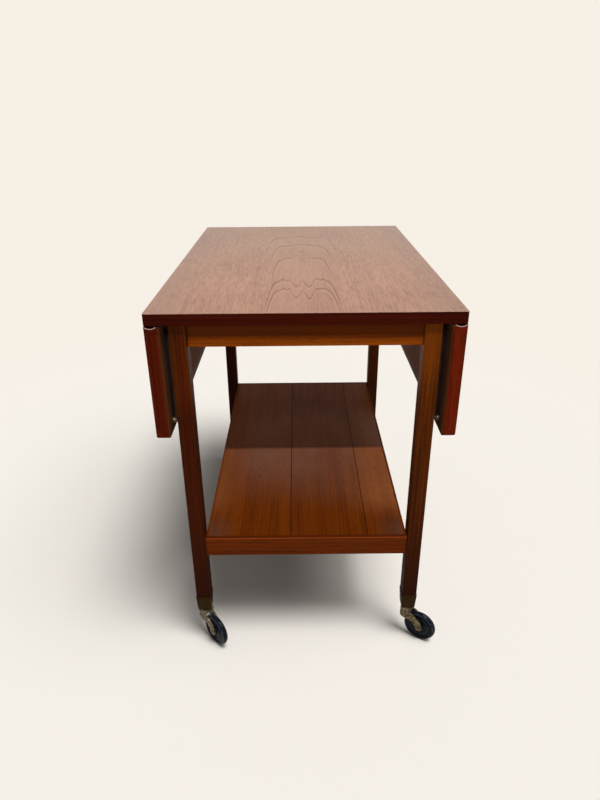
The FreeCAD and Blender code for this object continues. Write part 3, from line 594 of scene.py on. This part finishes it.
def block_wood(wood):
    """Plain pale wood with a faint straight grain."""
    finish = Finish("block_beech")
    across, along, deep = finish.position()
    grain = finish.noise(across * 420, along * 24, deep * 420, 3.0, 0.6)
    return finish.coat(
        Base_Color=finish.mix(grain.rise(0.3, 0.8), wood.block, toned(wood.block, 0.62)),
        Roughness=grain * 0.2 + 0.5,
        Normal=finish.bump(grain, 0.0001),
    )


# ---------------------------------------------------------------- metal, rubber and moulding


def rubbed_metal(name, skin, bare, cover, rough, scale=260, under=0.72, sheen=0.5):
    """Metal under a skin: cover is how much of it the skin keeps, and cloudy noise rubs it through."""
    finish = Finish(name)
    across, along, deep = finish.position()
    clouds = finish.noise(across * scale, along * scale, deep * scale, 4.0, 0.6)
    scratches = finish.noise(across * scale * 14, along * scale * 2, deep * scale * 5, 2.0, 0.6)
    wear_and_highlight = (clouds + scratches * 0.25).rise(cover, cover + 0.24)
    return finish.coat(
        Base_Color=finish.mix(wear_and_highlight, skin, bare),
        Metallic=wear_and_highlight * (0.97 - under) + under,
        Roughness=rough - wear_and_highlight * 0.12 + scratches * 0.14,
        Normal=finish.bump(clouds * 0.5 + scratches * 0.5, 0.00005),
        Specular_IOR_Level=sheen,
    )


# Out from the axle, in metres: where the tread's dust, paler also as a painted highlight, comes in, and the
# shoulder and ring with a painted highlight, each with its half width.
TREAD_DUST_AND_SHEEN = (0.0258, 0.0285)
HIGHLIGHT_RINGS = (0.0263, 0.0007), (0.0165, 0.0005)


def wheel_black(wheels):
    """Glossy black moulding with turned rings, placed by the distance from the axle, a kept attribute."""
    finish = Finish("wheel_black")
    across, along, deep = finish.position()
    out = finish.add("ShaderNodeAttribute", {"attribute_name": "out_from_axle"}, output="Fac")
    mottle = finish.noise(across * 240, along * 240, deep * 240, 4.0, 0.65)
    rings = (out * 900).fraction()
    ring_line = (1.0 - abs(rings - 0.5) * 5).most(0.0)
    tread = out.rise(*TREAD_DUST_AND_SHEEN)
    # Dust on the tread, paler also as a painted highlight.
    dust_and_sheen_share = tread * mottle.rise(0.42, 0.70) * 0.45 + mottle.rise(0.60, 0.85) * 0.15
    # Painted highlight on the shoulder and the raised ring.
    shoulder, ring = (1.0 - abs(out - place) / half for place, half in HIGHLIGHT_RINGS)
    wear_and_highlight = shoulder.most(ring).most(0.0)
    body = finish.mix(dust_and_sheen_share, wheels.black, wheels.dust_and_sheen)
    return finish.coat(
        Base_Color=finish.mix(wear_and_highlight * mottle.rise(0.35, 0.60) * 0.6, body, wheels.wear_and_highlight),
        Roughness=dust_and_sheen_share * 0.5 + ring_line * 0.06 + 0.10,
        Normal=finish.bump(ring_line * (1.0 - tread) + mottle * 0.15, 0.00008),
        Specular_IOR_Level=0.09,
    )


def rubber_grey():
    finish = Finish("rubber_pad")
    across, along, deep = finish.position()
    grain = finish.noise(across * 900, along * 900, deep * 900, 3.0, 0.6)
    return finish.coat(
        Base_Color=finish.mix(grain, (0.020, 0.018, 0.016), (0.060, 0.052, 0.046)),
        Roughness=grain * 0.2 + 0.65,
        Normal=finish.bump(grain, 0.00008),
    )


# ---------------------------------------------------------------- surfaces


def surface(name, points, wrap_rows=False, wrap_columns=True):
    """A mesh through a grid of points (rows, columns, 3); a row or column that closes meets its first."""
    rows, columns = points.shape[:2]
    index = np.arange(rows * columns).reshape(rows, columns)
    if wrap_rows:
        index = np.vstack([index, index[:1]])
    if wrap_columns:
        index = np.hstack([index, index[:, :1]])
    quads = np.stack([index[:-1, :-1], index[:-1, 1:], index[1:, 1:], index[1:, :-1]], axis=-1)
    mesh = bpy.data.meshes.new(name)
    mesh.from_pydata(points.reshape(-1, 3).tolist(), [], quads.reshape(-1, 4).tolist())
    close(mesh)
    return mesh


def close(mesh):
    """Merges seams and poles, turns every face outwards and shades smoothly."""
    shape = bmesh.new()
    shape.from_mesh(mesh)
    bmesh.ops.remove_doubles(shape, verts=shape.verts, dist=1e-7)
    bmesh.ops.recalc_face_normals(shape, faces=shape.faces)
    for face in shape.faces:
        face.smooth = True
    shape.to_mesh(mesh)
    shape.free()
    mesh.update()


def axes_about(axis):
    """Two unit vectors that stand square to the axis and to each other."""
    axis = np.array(axis, float) / np.linalg.norm(axis)
    helper = np.array([0.0, 0.0, 1.0]) if abs(axis[2]) < 0.9 else np.array([1.0, 0.0, 0.0])
    first = np.cross(axis, helper)
    first /= np.linalg.norm(first)
    return axis, first, np.cross(axis, first)


def turned(profile, centre, axis, segments):
    """A profile (distance out, distance along) carried round the axis: centre + along * axis + out * ray.

    The ray turns through a full circle, so it is cos(angle) of one cross direction plus sin of the other.
    """
    axis, first, second = axes_about(axis)
    angle = np.linspace(0.0, 2.0 * np.pi, segments, endpoint=False)[:, None]
    rays = np.cos(angle) * first + np.sin(angle) * second
    out, along = profile[:, 0], profile[:, 1]
    return np.array(centre) + along[:, None, None] * axis + out[:, None, None] * rays[None]


def piece(name, mesh, body, material, replaced=(), more=()):
    """Puts a mesh, and more that are joined to it, into the scene as a piece of the trolley."""
    if more:
        shape = bmesh.new()
        for part in (mesh, *more):
            shape.from_mesh(part)
        shape.to_mesh(mesh)
        shape.free()
    made = bpy.data.objects.new(name, mesh)
    bpy.context.scene.collection.objects.link(made)
    mesh.materials.append(material)
    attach(made, body)
    if replaced:
        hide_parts(*replaced)
    return made


def dress(node, material):
    """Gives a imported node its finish."""
    made = frame["nodes"][node]
    for held in made.material_slots:
        held.material = material


def rounded_copy(node, body, material, edge_material, width):
    """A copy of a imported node, merged, with its flat faces joined and its sharp edges rounded."""
    mesh = frame["nodes"][node].data.copy()
    mesh.materials.clear()
    shape = bmesh.new()
    shape.from_mesh(mesh)
    bmesh.ops.remove_doubles(shape, verts=shape.verts, dist=2e-6)
    bmesh.ops.dissolve_limit(shape, angle_limit=math.radians(0.6), verts=shape.verts, edges=shape.edges)
    for face in shape.faces:
        face.smooth = True
        face.material_index = 0
    shape.to_mesh(mesh)
    shape.free()
    if "custom_normal" in mesh.attributes:
        mesh.attributes.remove(mesh.attributes["custom_normal"])
    made = piece(f"{node}_rounded", mesh, body, material, (node,))
    mesh.materials.append(edge_material)
    rounding = made.modifiers.new("rounding", "BEVEL")
    rounding.width = width
    rounding.segments = 2
    rounding.limit_method = "ANGLE"
    rounding.angle_limit = math.radians(32)
    rounding.material = 1
    rounding.use_clamp_overlap = True
    rounding.harden_normals = True
    return made


def joint(name):
    return next(entry for entry in frame["joints"] if entry["name"] == name)


# ---------------------------------------------------------------- pieces


class TROLLEY_OT_top(bpy.types.Operator):
    """Veneer on the top and teak on its lippings"""

    bl_idname = "trolley.top"
    bl_label = "Top"

    def execute(self, context):
        wood = context.scene.trolley_wood
        dress("top_panel", top_veneer(wood))
        for number, (place, along) in enumerate(STRIPS.items()):
            node = f"top_lipping_{place}"
            dress(node, top_edge(f"{node}_teak", wood, along, 1.3 + number))
        return {"FINISHED"}


class TROLLEY_OT_leaves(bpy.types.Operator):
    """Veneer and lippings of both hanging leaves"""

    bl_idname = "trolley.leaves"
    bl_label = "Leaves"

    def execute(self, context):
        wood = context.scene.trolley_wood
        veneer = leaf_veneer(wood)
        for side in SIDES:
            dress(f"leaf_{side}_panel", veneer)
            pivot = joint(f"leaf_{side}_hinge")["pos_m"]
            for number, strip in enumerate(("joint", "free", "front", "back")):
                seed, warmth = 7.7 + number + 4 * SIDES[side], 1.03 + 0.20 * SIDES[side]
                along = "Z" if number > 1 else "Y"
                teak = leaf_end(f"leaf_{side}_{strip}_teak", wood, along, seed, warmth, pivot)
                dress(f"leaf_{side}_lipping_{strip}", teak)
        return {"FINISHED"}


class TROLLEY_OT_underframe(bpy.types.Operator):
    """Legs, aprons and the glued blocks in the corners"""

    bl_idname = "trolley.underframe"
    bl_label = "Legs and aprons"

    def execute(self, context):
        wood = context.scene.trolley_wood
        for number, corner in enumerate(CORNERS):
            light, dark = wood.solid_light, toned(wood.solid_dark, 0.6)
            shades = [(0.52, 0.44, 0.55, dark), (0.34, 0.02, 1.0, dark)]
            if "right" in corner:
                light = toned(wood.sap, 1.35)
                # Painted light: the right legs' tops are lightened where the top's shadow falls on them; lower
                # down they darken towards the foot.
                shades = [(0.56, 0.02, 1.0, dark), (0.48, 0.58, 0.42, toned(wood.sap, 2.3))]
            tones = (light, wood.solid_dark, wood.sap)
            teak = solid_teak(f"leg_{corner}_teak", "Z", 2.1 + 1.7 * number, tones, wood.pore, shades=shades)
            dress(f"leg_{corner}", teak)
        leg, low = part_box("leg_front_right")[0].x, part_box("apron_front")[0].z
        for number, (place, along) in enumerate(STRIPS.items()):
            tones, line, shades = (wood.apron_light, wood.apron_dark), None, ()
            if along == "X":
                # Painted shade in the joint beside each leg, along with a glue line.
                line = leg - 0.0006
                # Painted shade: the front and back aprons darken towards their top, under the top's overhang.
                shades = [(low + 0.010, low + 0.020, 0.80, toned(wood.apron_dark, 0.7))]
            teak = solid_teak(f"apron_{place}_teak", along, 11.4 + number, tones, wood.pore, line, shades)
            dress(f"apron_{place}", teak)
        dress("corner_blocks", block_wood(wood))
        return {"FINISHED"}


class TROLLEY_OT_shelf(bpy.types.Operator):
    """The shelf's veneer, side lippings and deep end rails"""

    bl_idname = "trolley.shelf"
    bl_label = "Shelf"

    def execute(self, context):
        wood = context.scene.trolley_wood
        dress("shelf_panel", shelf_veneer(wood))
        for number, side in enumerate(SIDES):
            tones = (wood.shelf_light, wood.shelf_dark)
            teak = solid_teak(f"shelf_lipping_{side}_teak", "Y", 17.2 + number, tones, wood.pore)
            dress(f"shelf_lipping_{side}", teak)
        for number, end in enumerate(ENDS):
            tones, top = (wood.rail_light, wood.rail_dark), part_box(f"shelf_rail_{end}")[1].z
            # Painted highlight: a pale band on each rail's upper arris, under a dark joint line at the very
            # top.
            arris = toned(wood.rail_light, 3.0, 0.01)
            shades = [
                (top - 0.0016, top - 0.0008, 0.8, arris),
                (top - 0.0004, top - 0.0001, 0.7, wood.rail_dark),
            ]
            teak = solid_teak(f"shelf_rail_{end}_teak", "X", 21.9 + number, tones, wood.pore, shades=shades)
            dress(f"shelf_rail_{end}", teak)
        return {"FINISHED"}


class TROLLEY_OT_fittings(bpy.types.Operator):
    """Hinges, stays, cleats and bumpers"""

    bl_idname = "trolley.fittings"
    bl_label = "Hinges, stays and bumpers"

    def execute(self, context):
        metal = context.scene.trolley_metal
        brass = rubbed_metal("brass", metal.aged, metal.wear_and_sheen, cover=0.52, rough=0.40)
        bright = rubbed_metal("brass_edge", metal.wear_and_sheen, metal.wear_and_sheen, cover=0.40, rough=0.36)
        steel = rubbed_metal("steel", toned(metal.steel, 0.6), metal.steel, cover=0.45, rough=0.42)
        steel_edge = rubbed_metal("steel_edge", metal.steel, metal.steel, cover=0.40, rough=0.30)
        width = metal.edge_width
        rounded_copy("stay_brackets", "frame", steel, steel_edge, width)
        rounded_copy("hinge_seats", "frame", brass, bright, width)
        rubber = rubber_grey()
        for side in SIDES:
            rounded_copy(f"stays_{side}", f"stays_{side}", steel, steel_edge, width)
            body = f"leaf_{side}"
            rounded_copy(f"hinge_arms_{side}", body, brass, bright, width * 0.5)
            rounded_copy(f"bumper_cups_{side}", body, brass, bright, width)
            dress(f"stay_cleats_{side}", brass)
            dress(f"bumper_pads_{side}", rubber)
        return {"FINISHED"}


# How far the ferrules reach up the legs.
FERRULE_RISE = 0.028


class TROLLEY_OT_ferrules(bpy.types.Operator):
    """Four pressed brass cups on the feet of the legs"""

    bl_idname = "trolley.ferrules"
    bl_label = "Ferrules"

    def execute(self, context):
        metal = context.scene.trolley_metal
        low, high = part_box("ferrules")
        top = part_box("leg_front_left")[0].z + FERRULE_RISE
        skin, bare = metal.patina, metal.patina_worn
        material = rubbed_metal(
            "ferrule_brass", skin, bare, cover=0.60, rough=0.40, scale=120, under=0.22, sheen=0.05
        )
        meshes = [ferrule_mesh(metal, corner, low.z, top) for corner in CORNERS]
        piece("ferrules_pressed", meshes[0], "frame", material, ("ferrules",), meshes[1:])
        return {"FINISHED"}


def ferrule_mesh(metal, corner, bottom, top):
    """A square with round corners carried up the leg: each station has a half width, a radius and a height.

    A point is a corner's centre plus its radius times the ray of its angle, and the stations run up the
    outside, over the lip, down the inside of the wall and out through the hole for the stem.
    """
    low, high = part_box(f"leg_{corner}")
    centre = (low + high) / 2
    half, round_corner, lip = (high.x - low.x) / 2, metal.ferrule_corner, metal.ferrule_lip
    proud, taper, fold, hole = 0.0010, 0.0015, 0.0020, 0.0047
    foot = half + proud - taper
    arc = np.linspace(0.0, np.pi / 2, 7)
    lower = [
        (foot - fold * (1 - math.sin(a)), round_corner + 0.0006, bottom + fold * (1 - math.cos(a))) for a in arc
    ]
    upper = [
        (half + proud - lip * (1 - math.cos(a)), round_corner, top - lip * (1 - math.sin(a))) for a in arc[::2]
    ]
    inner = [(half + 0.00002, 0.0016, top), (half - taper - 0.0002, 0.0012, bottom + 0.0031)]
    stations = np.array([(hole, hole, bottom)] + lower + upper + inner + [(hole, hole, bottom + 0.0030)])
    turn = np.linspace(0.0, np.pi / 2, 8)
    angles = (turn[None] + np.arange(4)[:, None] * np.pi / 2).ravel()
    signs = np.repeat(np.array([[1, 1], [-1, 1], [-1, -1], [1, -1]], float), len(turn), axis=0)
    reach = (stations[:, 0] - stations[:, 1])[:, None]
    x = centre.x + signs[None, :, 0] * reach + stations[:, 1][:, None] * np.cos(angles)[None]
    y = centre.y + signs[None, :, 1] * reach + stations[:, 1][:, None] * np.sin(angles)[None]
    z = np.repeat(stations[:, 2][:, None], len(angles), axis=1)
    return surface(f"ferrule_{corner}", np.stack([x, y, z], axis=-1), wrap_rows=True)


# How far out along the axle its riveted ends start, and how far they reach into the fork.
AXLE_END, RIVET_SUNK = 0.0092, 0.0003


class TROLLEY_OT_forks(bpy.types.Operator):
    """Cast horn forks with worn edges, made paler as a painted highlight, and riveted axles"""

    bl_idname = "trolley.forks"
    bl_label = "Caster forks"

    def execute(self, context):
        metal = context.scene.trolley_metal
        skin, bare = metal.aged, metal.wear_and_sheen
        aged = rubbed_metal(
            "fork_brass", skin, bare, cover=0.54, rough=0.36, scale=240, under=0.60, sheen=0.20
        )
        # The fork edges: worn bright brass, made paler also as a painted highlight.
        wear_and_sheen = rubbed_metal("fork_edge_wear_and_highlight", metal.bright, metal.bright, cover=1.50, rough=0.26, under=0.25)
        for corner in CORNERS:
            rounded_copy(f"fork_{corner}", f"fork_{corner}", aged, wear_and_sheen, metal.edge_width * 2.2)
            axle = joint(f"wheel_{corner}_roll")
            meshes = [
                rivet_mesh(metal, f"axle_rivet_{corner}", axle["pos_m"], np.array(axle["axis"]) * way)
                for way in (-1.0, 1.0)
            ]
            piece(f"axle_rivets_{corner}", meshes[0], f"fork_{corner}", aged, more=meshes[1:])
        return {"FINISHED"}


def rivet_mesh(metal, name, centre, axis):
    """A low dome: its height is the rivet's height times the root of 1 less the squared share of the radius."""
    share_out = np.sin(np.linspace(0.0, np.pi / 2, 12))
    height = metal.rivet_height * np.sqrt(np.clip(1.0 - share_out**2, 0.0, 1.0))
    dome = np.stack([share_out * metal.rivet_radius, AXLE_END + height], axis=1)
    foot = np.array([[metal.rivet_radius, AXLE_END - RIVET_SUNK], [0.0, AXLE_END - RIVET_SUNK]])
    return surface(name, turned(np.vstack([dome, foot]), centre, axis, 40))


class TROLLEY_OT_wheels(bpy.types.Operator):
    """Moulded wheels with a crowned tread and raised rings"""

    bl_idname = "trolley.wheels"
    bl_label = "Wheels"

    def execute(self, context):
        wheels = context.scene.trolley_wheels
        material = wheel_black(wheels)
        for corner in CORNERS:
            node = f"wheel_{corner}"
            low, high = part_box(node)
            profile = wheel_profile(wheels, (high.z - low.z) / 2 - wheels.inside)
            centre, axis = (joint(f"{node}_roll")[key] for key in ("pos_m", "axis"))
            points = turned(profile, centre, axis, wheels.segments)
            mesh = surface(f"{node}_moulded", points, wrap_rows=True)
            keep_distance_out(mesh, centre, axis)
            piece(f"{node}_moulded", mesh, node, material, (node,))
        return {"FINISHED"}


def keep_distance_out(mesh, centre, axis):
    """Stores each point's distance from the axle, in metres, for the turned rings of the finish."""
    points = np.empty(len(mesh.vertices) * 3)
    mesh.vertices.foreach_get("co", points)
    offset = points.reshape(-1, 3) - np.array(centre)
    axis = axes_about(axis)[0]
    out = np.linalg.norm(offset - (offset @ axis)[:, None] * axis, axis=1)
    mesh.attributes.new("out_from_axle", "FLOAT", "POINT").data.foreach_set("value", out.astype(np.float32))


# The wheel's section, in metres: the widths of the steps at hub and rim and of a raised ring, and how far the
# edges at the bore and the shoulder are cut back.
HUB_STEP, RIM_STEP, RING_WIDTH = 0.0012, 0.0016, 0.0009
BORE_CUT, SHOULDER_CUT = (0.0004, 0.0001), 0.0002

# Where each raised ring stands between hub and rim, and its height, as shares.
RAISED_RINGS = (0.42, 1.0), (0.70, 0.8)


def wheel_profile(wheels, radius):
    """The wheel's section: hub, recessed web with raised rings, rim, and a crowned tread as one arc.

    Beside the tread the height is the hub's, the web's and the rim's, blended by smooth steps, plus two
    bell-shaped rings on the web. The arc goes through both shoulders and the crown.
    """
    half = wheels.width / 2
    shoulder = radius - wheels.tread_rise
    out = np.linspace(wheels.bore, shoulder, 84)

    def step(at, width):
        share_in = np.clip((out - at) / width + 0.5, 0.0, 1.0)
        return share_in * share_in * (3 - 2 * share_in)

    def ring(at):
        return wheels.ring_height * np.exp(-(((out - at) / RING_WIDTH) ** 2))

    web = half - wheels.web_recess
    hub_face = half + wheels.hub_stand
    rim_start = shoulder - wheels.rim
    height = hub_face + (web - hub_face) * step(wheels.hub_radius, HUB_STEP)
    height = height + (half - web) * step(rim_start, RIM_STEP)
    for place, tall in RAISED_RINGS:
        height = height + tall * ring(wheels.hub_radius + (rim_start - wheels.hub_radius) * place)
    height[:2] -= np.array(BORE_CUT)
    height[-1] -= SHOULDER_CUT
    edge = half - SHOULDER_CUT
    crown = (edge**2 + wheels.tread_rise**2) / (2 * wheels.tread_rise)
    sweep = math.asin(min(1.0, edge / crown)) if crown > wheels.tread_rise else math.pi / 2
    angle = np.linspace(sweep, -sweep, 30)[1:-1]
    tread = np.stack([radius - crown + crown * np.cos(angle), crown * np.sin(angle)], axis=1)
    near = np.stack([out, height], axis=1)
    far = np.stack([out, -height], axis=1)[::-1]
    return np.vstack([near, tread, far])


# Where the screws sit, in metres: out from the middle, along the leaf hinges, or down from a piece's top.
HALF_STAY, HALF_SEAT = 0.006, 0.012
BRACKET_FACE, BRACKET_SCREWS = 0.194, (0.010, 0.024)
SEAT_MIDDLE, SEAT_UNDER, SEAT_SCREWS = 0.199, 0.608, (-0.008, 0.008)
BLOCK_SCREW = (0.160, 0.2855)
ARM_SCREWS = (0.5955, 0.5870)

# A screw head's dome, how deep it is sunk, and the breadth over which the slot's side falls.
HEAD_DOME, HEAD_SUNK, SLOT_FALL = 0.0003, 0.0009, 0.00012


class TROLLEY_OT_screws(bpy.types.Operator):
    """Countersunk screw heads of hinges, stays and corner blocks"""

    bl_idname = "trolley.screws"
    bl_label = "Screw heads"

    def execute(self, context):
        metal = context.scene.trolley_metal
        steel = rubbed_metal("screw_steel", metal.steel, metal.steel, cover=0.45, rough=0.34)
        bracket_top, block_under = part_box("stay_brackets")[1].z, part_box("corner_blocks")[0].z
        inner_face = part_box("leaf_right_panel")[0].x
        stay_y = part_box("stays_right")[1].y - HALF_STAY
        hinge_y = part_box("hinge_seats")[1].y - HALF_SEAT
        heads, down = [], (0, 0, -1)
        for side in SIDES.values():
            for end in ENDS.values():
                for step in BRACKET_SCREWS:
                    heads.append(((side * BRACKET_FACE, end * stay_y, bracket_top - step), (side, 0.0, 0.0)))
                for step in SEAT_SCREWS:
                    heads.append(((side * SEAT_MIDDLE, end * (hinge_y + step), SEAT_UNDER), down))
                heads.append(((side * BLOCK_SCREW[0], end * BLOCK_SCREW[1], block_under), down))
        piece_of_heads("frame_screw_heads", metal, heads, "frame", steel)
        for side, sign in SIDES.items():
            heads = [
                ((sign * inner_face, end * hinge_y, height), (-sign, 0.0, 0.0))
                for end in ENDS.values()
                for height in ARM_SCREWS
            ]
            piece_of_heads(f"leaf_{side}_screw_heads", metal, heads, f"leaf_{side}", steel)
        return {"FINISHED"}


def piece_of_heads(name, metal, heads, body, material):
    """Slotted screw heads, a point and a direction each, as one piece."""
    meshes = [
        screw_head_mesh(metal, f"{name}_{number}", spot, way, 0.7 * number)
        for number, (spot, way) in enumerate(heads)
    ]
    piece(name, meshes[0], body, material, more=meshes[1:])


def screw_head_mesh(metal, name, spot, way, turn):
    """A shallow dome with a slot: the height falls by the slot's depth where the point is near its line."""
    axis, first, second = axes_about(way)
    out = np.concatenate([np.linspace(0.0, 0.94, 22), [1.0, 1.0, 0.0]])[:, None]
    angle = np.linspace(0.0, 2 * np.pi, 64, endpoint=False)[None]
    aside = np.abs(out * metal.screw_radius * np.sin(angle + turn))
    slot = metal.slot_depth * np.clip((metal.slot_width * 0.5 - aside) / SLOT_FALL + 0.5, 0.0, 1.0)
    height = HEAD_DOME * (1.0 - out**2) - slot
    height[-3] = 0.0
    height[-2:] = -HEAD_SUNK
    rays = np.cos(angle)[..., None] * first + np.sin(angle)[..., None] * second
    points = np.array(spot) + height[..., None] * axis + (out * metal.screw_radius)[..., None] * rays
    return surface(name, points)


# ---------------------------------------------------------------- stage


class TROLLEY_OT_stage(bpy.types.Operator):
    """Pale floor and backdrop, soft lamps and the camera"""

    bl_idname = "trolley.stage"
    bl_label = "Stage"

    def execute(self, context):
        scene, stage = context.scene, context.scene.trolley_stage
        scene.view_settings.view_transform = "Standard"
        floor = make_floor(scene, stage)
        make_world(scene, stage)
        make_lamps(scene, stage, floor)
        make_camera(scene, stage)
        return {"FINISHED"}


def rays_from(nodes, *sources):
    """1 for rays from one of the sources, such as Camera, Glossy or Transmission, and 0 for all others."""
    path = nodes.tree.nodes.new("ShaderNodeLightPath")
    rays = [Strand(nodes, path.outputs[f"Is {source} Ray"]) for source in sources]
    return rays[0] if len(rays) == 1 else rays[0].most(rays[1])


# In metres: how far the floor reaches to each side, and where the middle of its lit part lies.
FLOOR_REACH, LIT_LEFT, LIT_BACK = 30.0, 0.10, 0.05

# Each lamp's breadth, height and turn from -Y towards +X, in degrees. The front lamp's last two are settings.
KEY_BREADTH = 1.3
HIGH_LAMP, SIDE_LAMP, BACK_LAMP = (24.0, 72.0, 44.0), (40.0, 62.0, 66.0), (20.0, 38.0, -152.0)


def make_floor(scene, stage):
    """A flat grid on which the backdrop's own tone takes over away from the trolley."""
    side = np.linspace(-FLOOR_REACH, FLOOR_REACH, 25)
    x, y = np.meshgrid(side, side)
    mesh = surface("floor", np.stack([x, y, 0 * x], axis=-1), wrap_columns=False)
    if mesh.polygons[0].normal.z < 0:
        mesh.flip_normals()
    floor = bpy.data.objects.new("floor", mesh)
    scene.collection.objects.link(floor)
    finish = Finish("floor_cream")
    x, y = finish.position()[:2]
    away = ((x + LIT_LEFT) * (x + LIT_LEFT) + (y - LIT_BACK) * (y - LIT_BACK)).root()
    away = away.rise(stage.floor_near, stage.floor_far)
    cream = (*stage.backdrop, 1.0)
    lit = finish.add("ShaderNodeBsdfDiffuse", inputs={"Color": (*stage.floor_tone, 1.0)})
    plain = finish.add("ShaderNodeEmission", inputs={"Color": cream, "Strength": 1.0})
    directly = rays_from(finish, "Camera", "Transmission")
    both = finish.add("ShaderNodeMixShader", inputs=[away * directly, lit, plain])
    finish.end("ShaderNodeOutputMaterial", both)
    mesh.materials.append(finish.material)
    return floor


def make_world(scene, stage):
    """The backdrop where it is seen, for gloss a room bright behind and dim before, and a plain fill."""
    world = bpy.data.worlds.new("studio")
    world.use_nodes = True
    scene.world = world
    nodes = Nodes(world.node_tree)
    cream = (*stage.backdrop, 1.0)
    fill = nodes.add("ShaderNodeBackground", inputs={"Color": (1.0, 1.0, 1.0, 1.0), "Strength": stage.fill})
    seen = nodes.add("ShaderNodeBackground", inputs={"Color": cream, "Strength": 1.0})
    behind = nodes.position("Generated")[1].rise(-0.35, 0.30)
    mirrored = nodes.add("ShaderNodeMixShader", inputs=[behind, fill, seen])
    soft = nodes.add("ShaderNodeMixShader", inputs=[rays_from(nodes, "Glossy"), fill, mirrored])
    directly = rays_from(nodes, "Camera", "Transmission")
    nodes.end("ShaderNodeOutputWorld", nodes.add("ShaderNodeMixShader", inputs=[directly, soft, seen]))


def make_lamps(scene, stage, floor):
    """A lamp before the trolley, two broad ones high at its right that cast the shadow, a weak one behind."""
    shelf, top = (
        [made for node, made in frame["nodes"].items() if node.startswith(start)]
        for start in ("shelf_", "top_")
    )
    key_lamp = (KEY_BREADTH, stage.key_height, stage.key_aside)
    distant_lamp(scene, "key", stage.key_power, key_lamp, [floor])
    distant_lamp(scene, "high", stage.high_power, HIGH_LAMP, shelf)
    distant_lamp(scene, "side", stage.side_power, SIDE_LAMP, shelf)
    distant_lamp(scene, "back", stage.back_power, BACK_LAMP, [floor, *shelf, *top])


def distant_lamp(scene, name, power, angles, spared):
    """A lamp that doesn't light the spared pieces: its breadth, height and turn from -Y towards +X."""
    breadth, height, aside = (math.radians(angle) for angle in angles)
    light = bpy.data.lights.new(name, "SUN")
    light.energy, light.angle = power, breadth
    lamp = bpy.data.objects.new(name, light)
    scene.collection.objects.link(lamp)
    level = math.cos(height)
    towards = Vector((math.sin(aside) * level, -math.cos(aside) * level, math.sin(height)))
    lamp.rotation_euler = towards.to_track_quat("Z", "Y").to_euler()
    receivers = bpy.data.collections.new(f"{name}_receivers")
    for left_out in spared:
        receivers.objects.link(left_out)
    for entry in receivers.collection_objects:
        entry.light_linking.link_state = "EXCLUDE"
    lamp.light_linking.receiver_collection = receivers


def make_camera(scene, stage):
    """A camera that looks along +Y and down, panned and rolled by small angles."""
    data = bpy.data.cameras.new("camera")
    data.sensor_width = 36.0
    data.lens = stage.lens
    camera = bpy.data.objects.new("camera", data)
    scene.collection.objects.link(camera)
    down, aside, roll = (math.radians(a) for a in (stage.camera_down, stage.camera_aside, stage.camera_roll))
    level = math.cos(down)
    ahead = Vector((math.sin(aside) * level, math.cos(aside) * level, -math.sin(down)))
    right = Vector((math.cos(aside), -math.sin(aside), 0.0))
    up = right.cross(ahead)
    turned_right = math.cos(roll) * right + math.sin(roll) * up
    turned_up = math.cos(roll) * up - math.sin(roll) * right
    turn = Matrix((turned_right, turned_up, -ahead)).transposed()
    camera.matrix_world = Matrix.Translation(Vector(stage.camera_place)) @ turn.to_4x4()
    scene.camera = camera


# ---------------------------------------------------------------- panel and registration

OPERATORS = (
    TROLLEY_OT_top,
    TROLLEY_OT_leaves,
    TROLLEY_OT_underframe,
    TROLLEY_OT_shelf,
    TROLLEY_OT_fittings,
    TROLLEY_OT_ferrules,
    TROLLEY_OT_forks,
    TROLLEY_OT_wheels,
    TROLLEY_OT_screws,
    TROLLEY_OT_stage,
)
SETTINGS = {
    "trolley_wood": TrolleyWood,
    "trolley_metal": TrolleyMetal,
    "trolley_wheels": TrolleyWheels,
    "trolley_stage": TrolleyStage,
}


class TROLLEY_PT_pieces(bpy.types.Panel):
    """Lists the trolley's pieces in the sidebar"""

    bl_idname = "TROLLEY_PT_pieces"
    bl_label = "Tea trolley"
    bl_space_type = "VIEW_3D"
    bl_region_type = "UI"
    bl_category = "Trolley"

    def draw(self, context):
        for operator in OPERATORS:
            self.layout.operator(operator.bl_idname)


def register():
    for group in (*SETTINGS.values(), *OPERATORS, TROLLEY_PT_pieces):
        bpy.utils.register_class(group)
    for name, group in SETTINGS.items():
        setattr(bpy.types.Scene, name, PointerProperty(type=group))


def unregister():
    for name in SETTINGS:
        delattr(bpy.types.Scene, name)
    for group in reversed((*SETTINGS.values(), *OPERATORS, TROLLEY_PT_pieces)):
        bpy.utils.unregister_class(group)


def main():
    """Makes every piece and the stage."""
    register()
    for operator in OPERATORS:
        group, name = operator.bl_idname.split(".")
        getattr(getattr(bpy.ops, group), name)()


if __name__ == "__main__":
    main()
